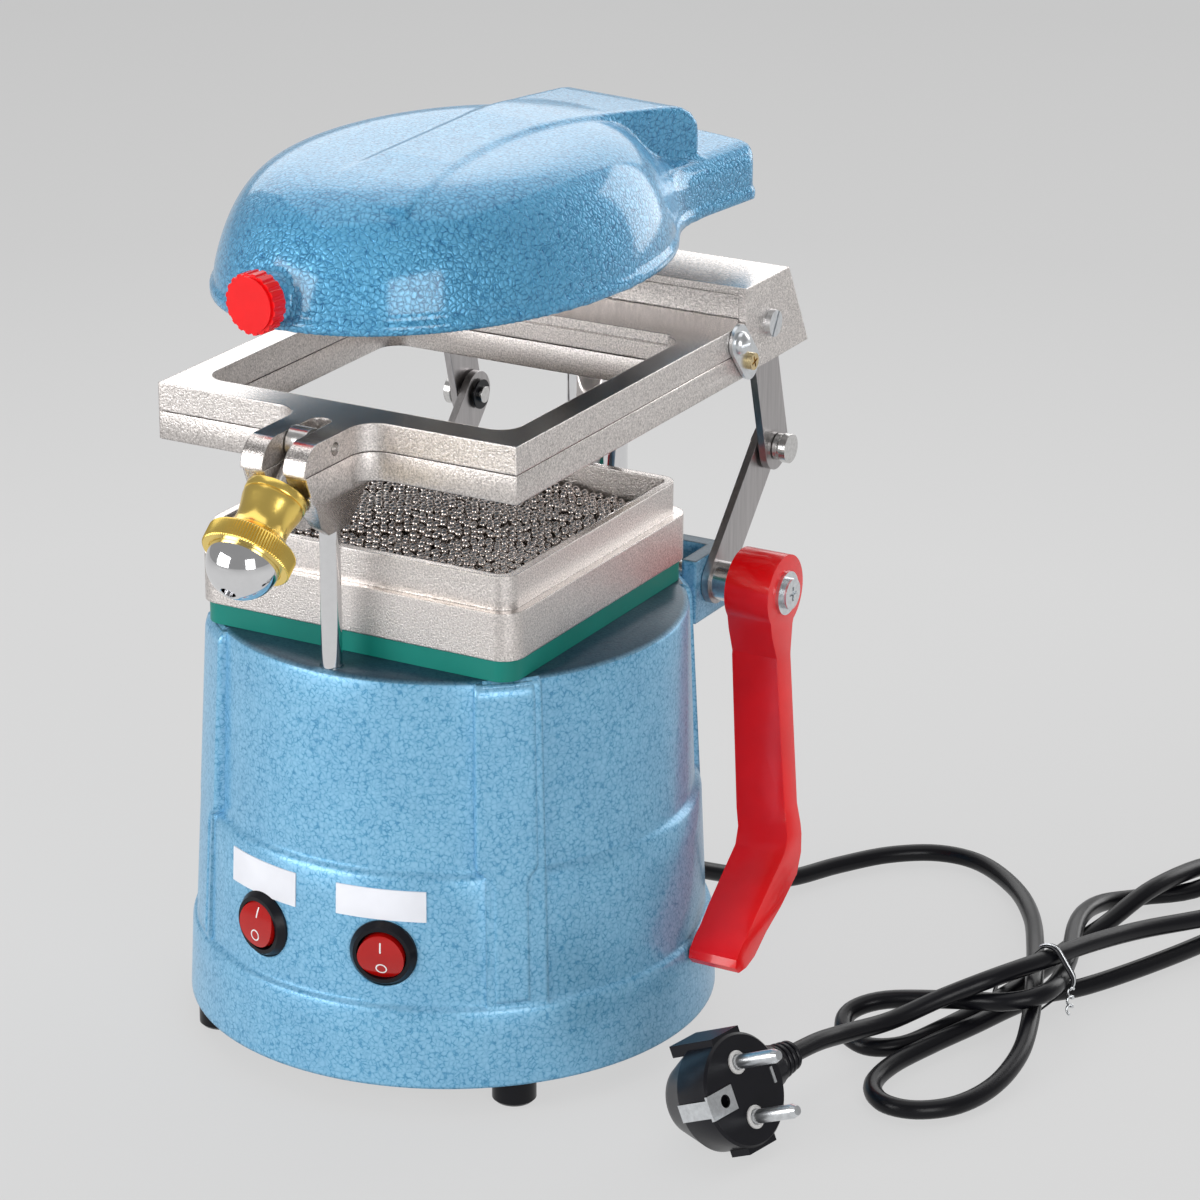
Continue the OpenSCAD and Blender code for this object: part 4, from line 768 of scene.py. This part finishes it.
# axes of the eye bolt, its length along Z
bolt = Matrix.Translation((0, -.09, .2307)) @ Matrix.Rotation(math.radians(129.5), 4, "X")
nose = [(-.4, 18.5), (3, 17.6), (6, 16.6), (9.4, 15.1), (12, 13.6), (16, 10.9), (16, 40), (-.4, 40)]
prisms.append(tuple([tuple(bolt @ Vector((x, y / 1000, z / 1000))) for y, z in nose]
                    for x in (-.0135, .0135)))
carve(frame_skin, prisms)

# ---------------------------------------------------------------- softened pilaster ribs of the housing
def pilaster(name, mid, mirror):
    """Rounded face over one rib: wider above the ledge than below it."""
    az, zs = np.linspace(-11, 11, 67), np.linspace(38.5, 149.2, 90)
    A, Z = np.meshgrid(az, zs, indexing="ij")
    ease = lambda t: np.clip(t, 0, 1) ** 2 * (3 - 2 * np.clip(t, 0, 1))
    up = ease((Z - 80) / 6)
    left, right = -4.0 - 3.6 * up, 4.6 + 2.4 * up
    mask = ease((A - left) / 1.2 + .5) * ease((right - A) / 1.2 + .5)
    rad = 89.9 - (Z - 37.5) * 6.0 / 112.5
    rad = rad - 3.1 * np.clip((Z - 145) / 5, 0, 1) ** 2.4
    low = rad - 6 - 2.5 * (Z > 146)
    out = low + (rad - low) * mask
    V, F = [], []
    sg = -1 if mirror else 1
    for R in (out, low - 1.5):
        for i in range(len(az)):
            for j in range(len(zs)):
                a = math.radians(mid + sg * A[i, j])
                V.append((R[i, j] * math.cos(a) / 1000, R[i, j] * math.sin(a) / 1000,
                          Z[i, j] / 1000))
    n, m = len(az), len(zs)
    at = lambda k, i, j: k * n * m + i * m + j
    for i in range(n - 1):
        for j in range(m - 1):
            F.append((at(0, i, j), at(0, i + 1, j), at(0, i + 1, j + 1), at(0, i, j + 1)))
            F.append((at(1, i, j), at(1, i, j + 1), at(1, i + 1, j + 1), at(1, i + 1, j)))
    for i in range(n - 1):
        F.append((at(0, i, 0), at(1, i, 0), at(1, i + 1, 0), at(0, i + 1, 0)))
        F.append((at(0, i, m - 1), at(0, i + 1, m - 1), at(1, i + 1, m - 1), at(1, i, m - 1)))
    for j in range(m - 1):
        F.append((at(0, 0, j), at(0, 0, j + 1), at(1, 0, j + 1), at(1, 0, j)))
        F.append((at(0, n - 1, j), at(1, n - 1, j), at(1, n - 1, j + 1), at(0, n - 1, j + 1)))
    if mirror:
        F = [q[::-1] for q in F]
    obj(name, solid(name, V, F, True), body_of["base_housing"], M["blue_paint"], "blue_paint")
pilaster("rib_face_right", -46.5, False)
pilaster("rib_face_left", -133.5, True)

# ---------------------------------------------------------------- knob
def lathe(name, prof, n, place, body, mat, slot, knurl=None):
    """prof: (radius, height) in mm; knurl(k, radius, height) gives the radius of column k."""
    V, F = [], []
    for (rad, h) in prof:
        for k in range(n):
            a = 2 * math.pi * k / n
            rr = knurl(k, rad, h) if knurl else rad
            V.append(place @ Vector((rr * math.cos(a) / 1000, rr * math.sin(a) / 1000, h / 1000)))
    for j in range(len(prof) - 1):
        for k in range(n):
            k2 = (k + 1) % n
            F.append((j * n + k, j * n + k2, (j + 1) * n + k2, (j + 1) * n + k))
    F.append(tuple(range(n))[::-1])
    F.append(tuple((len(prof) - 1) * n + k for k in range(n)))
    o = obj(name, solid(name, V, F, True), body, mat, slot)
    e = o.modifiers.new("sharp", "EDGE_SPLIT")
    e.split_angle = math.radians(38)
    return o

K, Fk, S = 10.5, 15.0, 19.6      # mm: radius of the neck, of the flange, start along the bolt
prof = [(3.1, 0), (K - .5, 0), (K - .15, .15), (K, .5), (K, 2.7), (K - .12, 3.0), (K - .45, 3.15),
        (K - .45, 3.65), (K - .2, 3.85), (K - .2, 4.6), (K - .5, 6), (K - 1, 8), (K - 1.4, 10),
        (K - 1.6, 12), (K - 1.5, 13.5), (K - 1.1, 15), (K - .3, 16.4), (K + .8, 17.4),
        (K + 2, 18.1), (Fk - 1.4, 18.75), (Fk - .5, 19.0), (Fk - .08, 19.4), (Fk, 19.8), (Fk, 24.9),
        (Fk - .1, 25.3), (Fk - .5, 25.6), (12.4, 25.6), (12.15, 25.2)]
def knurl(k, rad, h):
    return rad - (.42, .14, 0, .14)[k % 4] * (rad > Fk - .2)
knob = lathe("knob_gold", [(a, S + h) for a, h in prof], 384, bolt, body_of["knob_body"],
             M["gold_anodised"], "gold_anodised", knurl)
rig.replaces(knob, "knob_body")
top = 26.4 + math.sqrt(12 ** 2 - 2.5 ** 2)
prof = [(9, 22), (12, 25.2)] + [(12 * math.cos(a), 26.4 + 12 * math.sin(a))
                                for a in [math.radians(-2 + 80 * k / 30) for k in range(31)]]
prof = [q for q in prof if q[0] > 2.75] + [(2.7, top - .06), (2.5, top - .3), (2.5, 34), (.2, 34)]
ball = lathe("knob_ball_skin", [(a, S + h) for a, h in prof], 96, bolt, body_of["knob_ball"],
             M["chrome_bar"], "chrome_bar")
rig.replaces(ball, "knob_ball")

# ---------------------------------------------------------------- plug trim
on_plug = (Matrix.Translation((.1441, -.055, .0225)) @ Matrix.Rotation(math.radians(-10.5), 4, "Z")
           @ Matrix.Rotation(math.radians(-25), 4, "Y"))
M["collar"] = plastic("collar", (.62, .61, .6), .4, 500, .05)
trim = []
for k, z in enumerate((9.5, -9.5)):
    ring = on_plug @ Matrix.Translation((0, 0, z / 1000)) @ Matrix.Rotation(math.pi / 2, 4, "Y")
    prof = [(2.5, -.5), (2.5, .5), (2.8, .8), (3.6, .8), (3.9, .5), (3.9, -.5)]
    trim.append(lathe("pin_collar_%d" % k, prof, 48, ring, "base", M["collar"], None))
for k in range(4):
    y = 28 + 2.7 * k
    rad = 6.8 - (y - 26) / 6
    ring = on_plug @ Matrix.Translation((-.011, y / 1000, 0)) @ Matrix.Rotation(-math.pi / 2, 4, "X")
    prof = [(rad - 1.4, -.9), (rad - .1, -.85), (rad + .2, -.5), (rad + .2, .5), (rad - .1, .85),
            (rad - 1.4, .9)]
    trim.append(lathe("relief_rib_%d" % k, prof, 40, ring, "base",
                      M["black_plastic"], "black_plastic"))

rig.cord(lead, exit=(.042, .104, .0175), length=length, diameter=.0065, far_end="plug", stiffness="medium", lay="loose",
        with_pieces=[N["plug_body"], N["plug_pins"], N["earth_clips"]] + trim)

# ---------------------------------------------------------------- labels and switch marks
def label(name, x0, x1, z0, z1, n=28):
    V, F = [], []
    for off in (.45, .02):
        for z in (z0, z1):
            rad = 86.4 + 2 * (81 - z) / 43.5 + off        # the lower panels widen by 2 mm in 43.5
            for k in range(n + 1):
                a = math.asin((x0 + (x1 - x0) * k / n) / 86.8)
                V.append((rad * math.sin(a) / 1000, -rad * math.cos(a) / 1000, z / 1000))
    m1 = n + 1
    for k in range(n):
        F.append((k, k + 1, m1 + k + 1, m1 + k))
        F.append((2 * m1 + k, 3 * m1 + k, 3 * m1 + k + 1, 2 * m1 + k + 1))
        F.append((k, 2 * m1 + k, 2 * m1 + k + 1, k + 1))
        F.append((m1 + k, m1 + k + 1, 3 * m1 + k + 1, 3 * m1 + k))
    F.append((0, m1, 3 * m1, 2 * m1))
    F.append((n, 2 * m1 + n, 3 * m1 + n, m1 + n))
    return obj(name, solid(name, V, F), "base", M["label"], None)

M["label"] = plastic("label", (.76, .77, .82), .4, 500, .05)
M["print_white"] = plastic("print_white", (.85, .85, .85), .4, 500, .05)
label("label_right", 7.2, 37.1, 67.5, 78.2)
label("label_left", -39.1, -8.8, 66, 78)

def mark(name, side, tilt, body):
    base = (Matrix.Rotation(math.radians(side * 15.7), 4, "Z") @ Matrix.Translation((0, 0, .0555))
            @ Matrix.Rotation(math.pi / 2, 4, "X") @ Matrix.Translation((0, 0, .086))
            @ Matrix.Rotation(math.radians(tilt), 4, "X"))
    V, F = [], []
    def strip(path, wid):
        n = len(path)
        i0 = len(V)
        for k, (x, y) in enumerate(path):
            x1, y1 = path[min(k + 1, n - 1)]
            xa, ya = path[max(k - 1, 0)]
            d = math.hypot(x1 - xa, y1 - ya)
            nx, ny = -(y1 - ya) / d * wid / 2, (x1 - xa) / d * wid / 2
            for sg in (1, -1):
                X, Y = x + sg * nx, y + sg * ny
                for lift in (.09, .0):
                    Z = -15.6 + math.sqrt(20.6 ** 2 - Y * Y) + lift
                    V.append(base @ Vector((X / 1000, Y / 1000, Z / 1000)))
        for k in range(n - 1):
            a = i0 + 4 * k
            b2 = a + 4
            F.append((a, b2, b2 + 2, a + 2)); F.append((a + 1, a + 3, b2 + 3, b2 + 1))
            F.append((a, a + 1, b2 + 1, b2)); F.append((a + 2, b2 + 2, b2 + 3, a + 3))
        F.append((i0, i0 + 2, i0 + 3, i0 + 1))
        e = i0 + 4 * (n - 1)
        F.append((e, e + 1, e + 3, e + 2))
    strip([(0, 2.3 + 3.6 * k / 8) for k in range(9)], .5)
    turn = [2 * math.pi * k / 36 for k in range(37)]
    strip([(1.75 * math.cos(a), -3.9 + 1.75 * math.sin(a)) for a in turn], .45)
    obj(name, solid(name, V, F), body, M["print_white"], None)
mark("marks_left", -1, -9, body_of["rocker_left"])
mark("marks_right", 1, 9, body_of["rocker_right"])

# ---------------------------------------------------------------- floor and light
fl = bpy.data.meshes.new("floor")
fl.from_pydata([(-8, -6, 0), (8, -6, 0), (8, 10, 0), (-8, 10, 0)], [], [(0, 1, 2, 3)])
floor = bpy.data.objects.new("floor", fl)
floor.location.z = -.0008
scene.collection.objects.link(floor)
m, nt, b = newmat("floor")
# painted pool of light: the pale floor is painted brighter near the object and darker with the distance from it, the
# same from every side
tc = nd(nt, "ShaderNodeTexCoord")
gr = nd(nt, "ShaderNodeVectorMath", operation="LENGTH")
nt.links.new(tc.outputs["Object"], gr.inputs[0])
scl = nd(nt, "ShaderNodeMath", operation="MULTIPLY")
scl.inputs[1].default_value = .5
nt.links.new(gr.outputs["Value"], scl.inputs[0])
col = ramp(nt, scl.outputs[0], [(k, [c] * 3) for k, c in
                                ((0, .70), (.25, .69), (.5, .61), (.8, .57), (1, .57))])
nt.links.new(col, b.inputs["Base Color"])
b.inputs["Roughness"].default_value = .95
b.inputs["Specular IOR Level"].default_value = .05
lp = nd(nt, "ShaderNodeLightPath")
em = nd(nt, "ShaderNodeEmission")
nt.links.new(col, em.inputs["Color"])
half = nd(nt, "ShaderNodeMath", operation="MULTIPLY")
half.inputs[1].default_value = .85
seen = nd(nt, "ShaderNodeMath", operation="MAXIMUM")
nt.links.new(lp.outputs["Is Camera Ray"], seen.inputs[0])
nt.links.new(lp.outputs["Is Glossy Ray"], seen.inputs[1])
through = nd(nt, "ShaderNodeMath", operation="MAXIMUM")
nt.links.new(seen.outputs[0], through.inputs[0])
nt.links.new(lp.outputs["Is Transmission Ray"], through.inputs[1])
nt.links.new(through.outputs[0], half.inputs[0])
mx = nd(nt, "ShaderNodeMixShader")
nt.links.new(half.outputs[0], mx.inputs[0])
nt.links.new(b.outputs[0], mx.inputs[1])
nt.links.new(em.outputs[0], mx.inputs[2])
nt.links.new(mx.outputs[0], nt.nodes["Material Output"].inputs["Surface"])
fl.materials.append(m)
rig.stage(floor)

w = bpy.data.worlds.new("world")
scene.world = w
w.use_nodes = True
w.node_tree.nodes["Background"].inputs[0].default_value = (1, 1, 1, 1)
w.node_tree.nodes["Background"].inputs[1].default_value = .32

def area(name, loc, target, size, power, color=(1, 1, 1), sy=None):
    l = bpy.data.lights.new(name, "AREA")
    l.shape = "RECTANGLE"
    l.size, l.size_y = size, sy or size
    l.energy = power
    l.color = color
    o = bpy.data.objects.new(name, l)
    scene.collection.objects.link(o)
    o.location = loc
    o.visible_camera = False
    o.rotation_euler = (Vector(target) - Vector(loc)).to_track_quat("-Z", "Y").to_euler()
    return o

area("left_box", (-1.0, -1.65, .68), (0, 0, .15), 1.4, 26, sy=1.0)
area("right_box", (1.5, -1.17, .6), (0, 0, .15), .9, 13, sy=.95)
area("rim_box", (.6, 1.85, .6), (0, 0, .15), .9, 10, sy=1.1)
area("back_panel", (-1.2, 2.2, 1.3), (0, 0, .2), 3.0, 21, sy=1.5)
area("top_box", (-.3, .55, 1.95), (0, 0, .2), 2.2, 14)

with open("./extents.json", "w") as fh:
    json.dump({"cad": [list(c) for c in cad_box], "visual": [list(c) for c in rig.bounds()]}, fh)
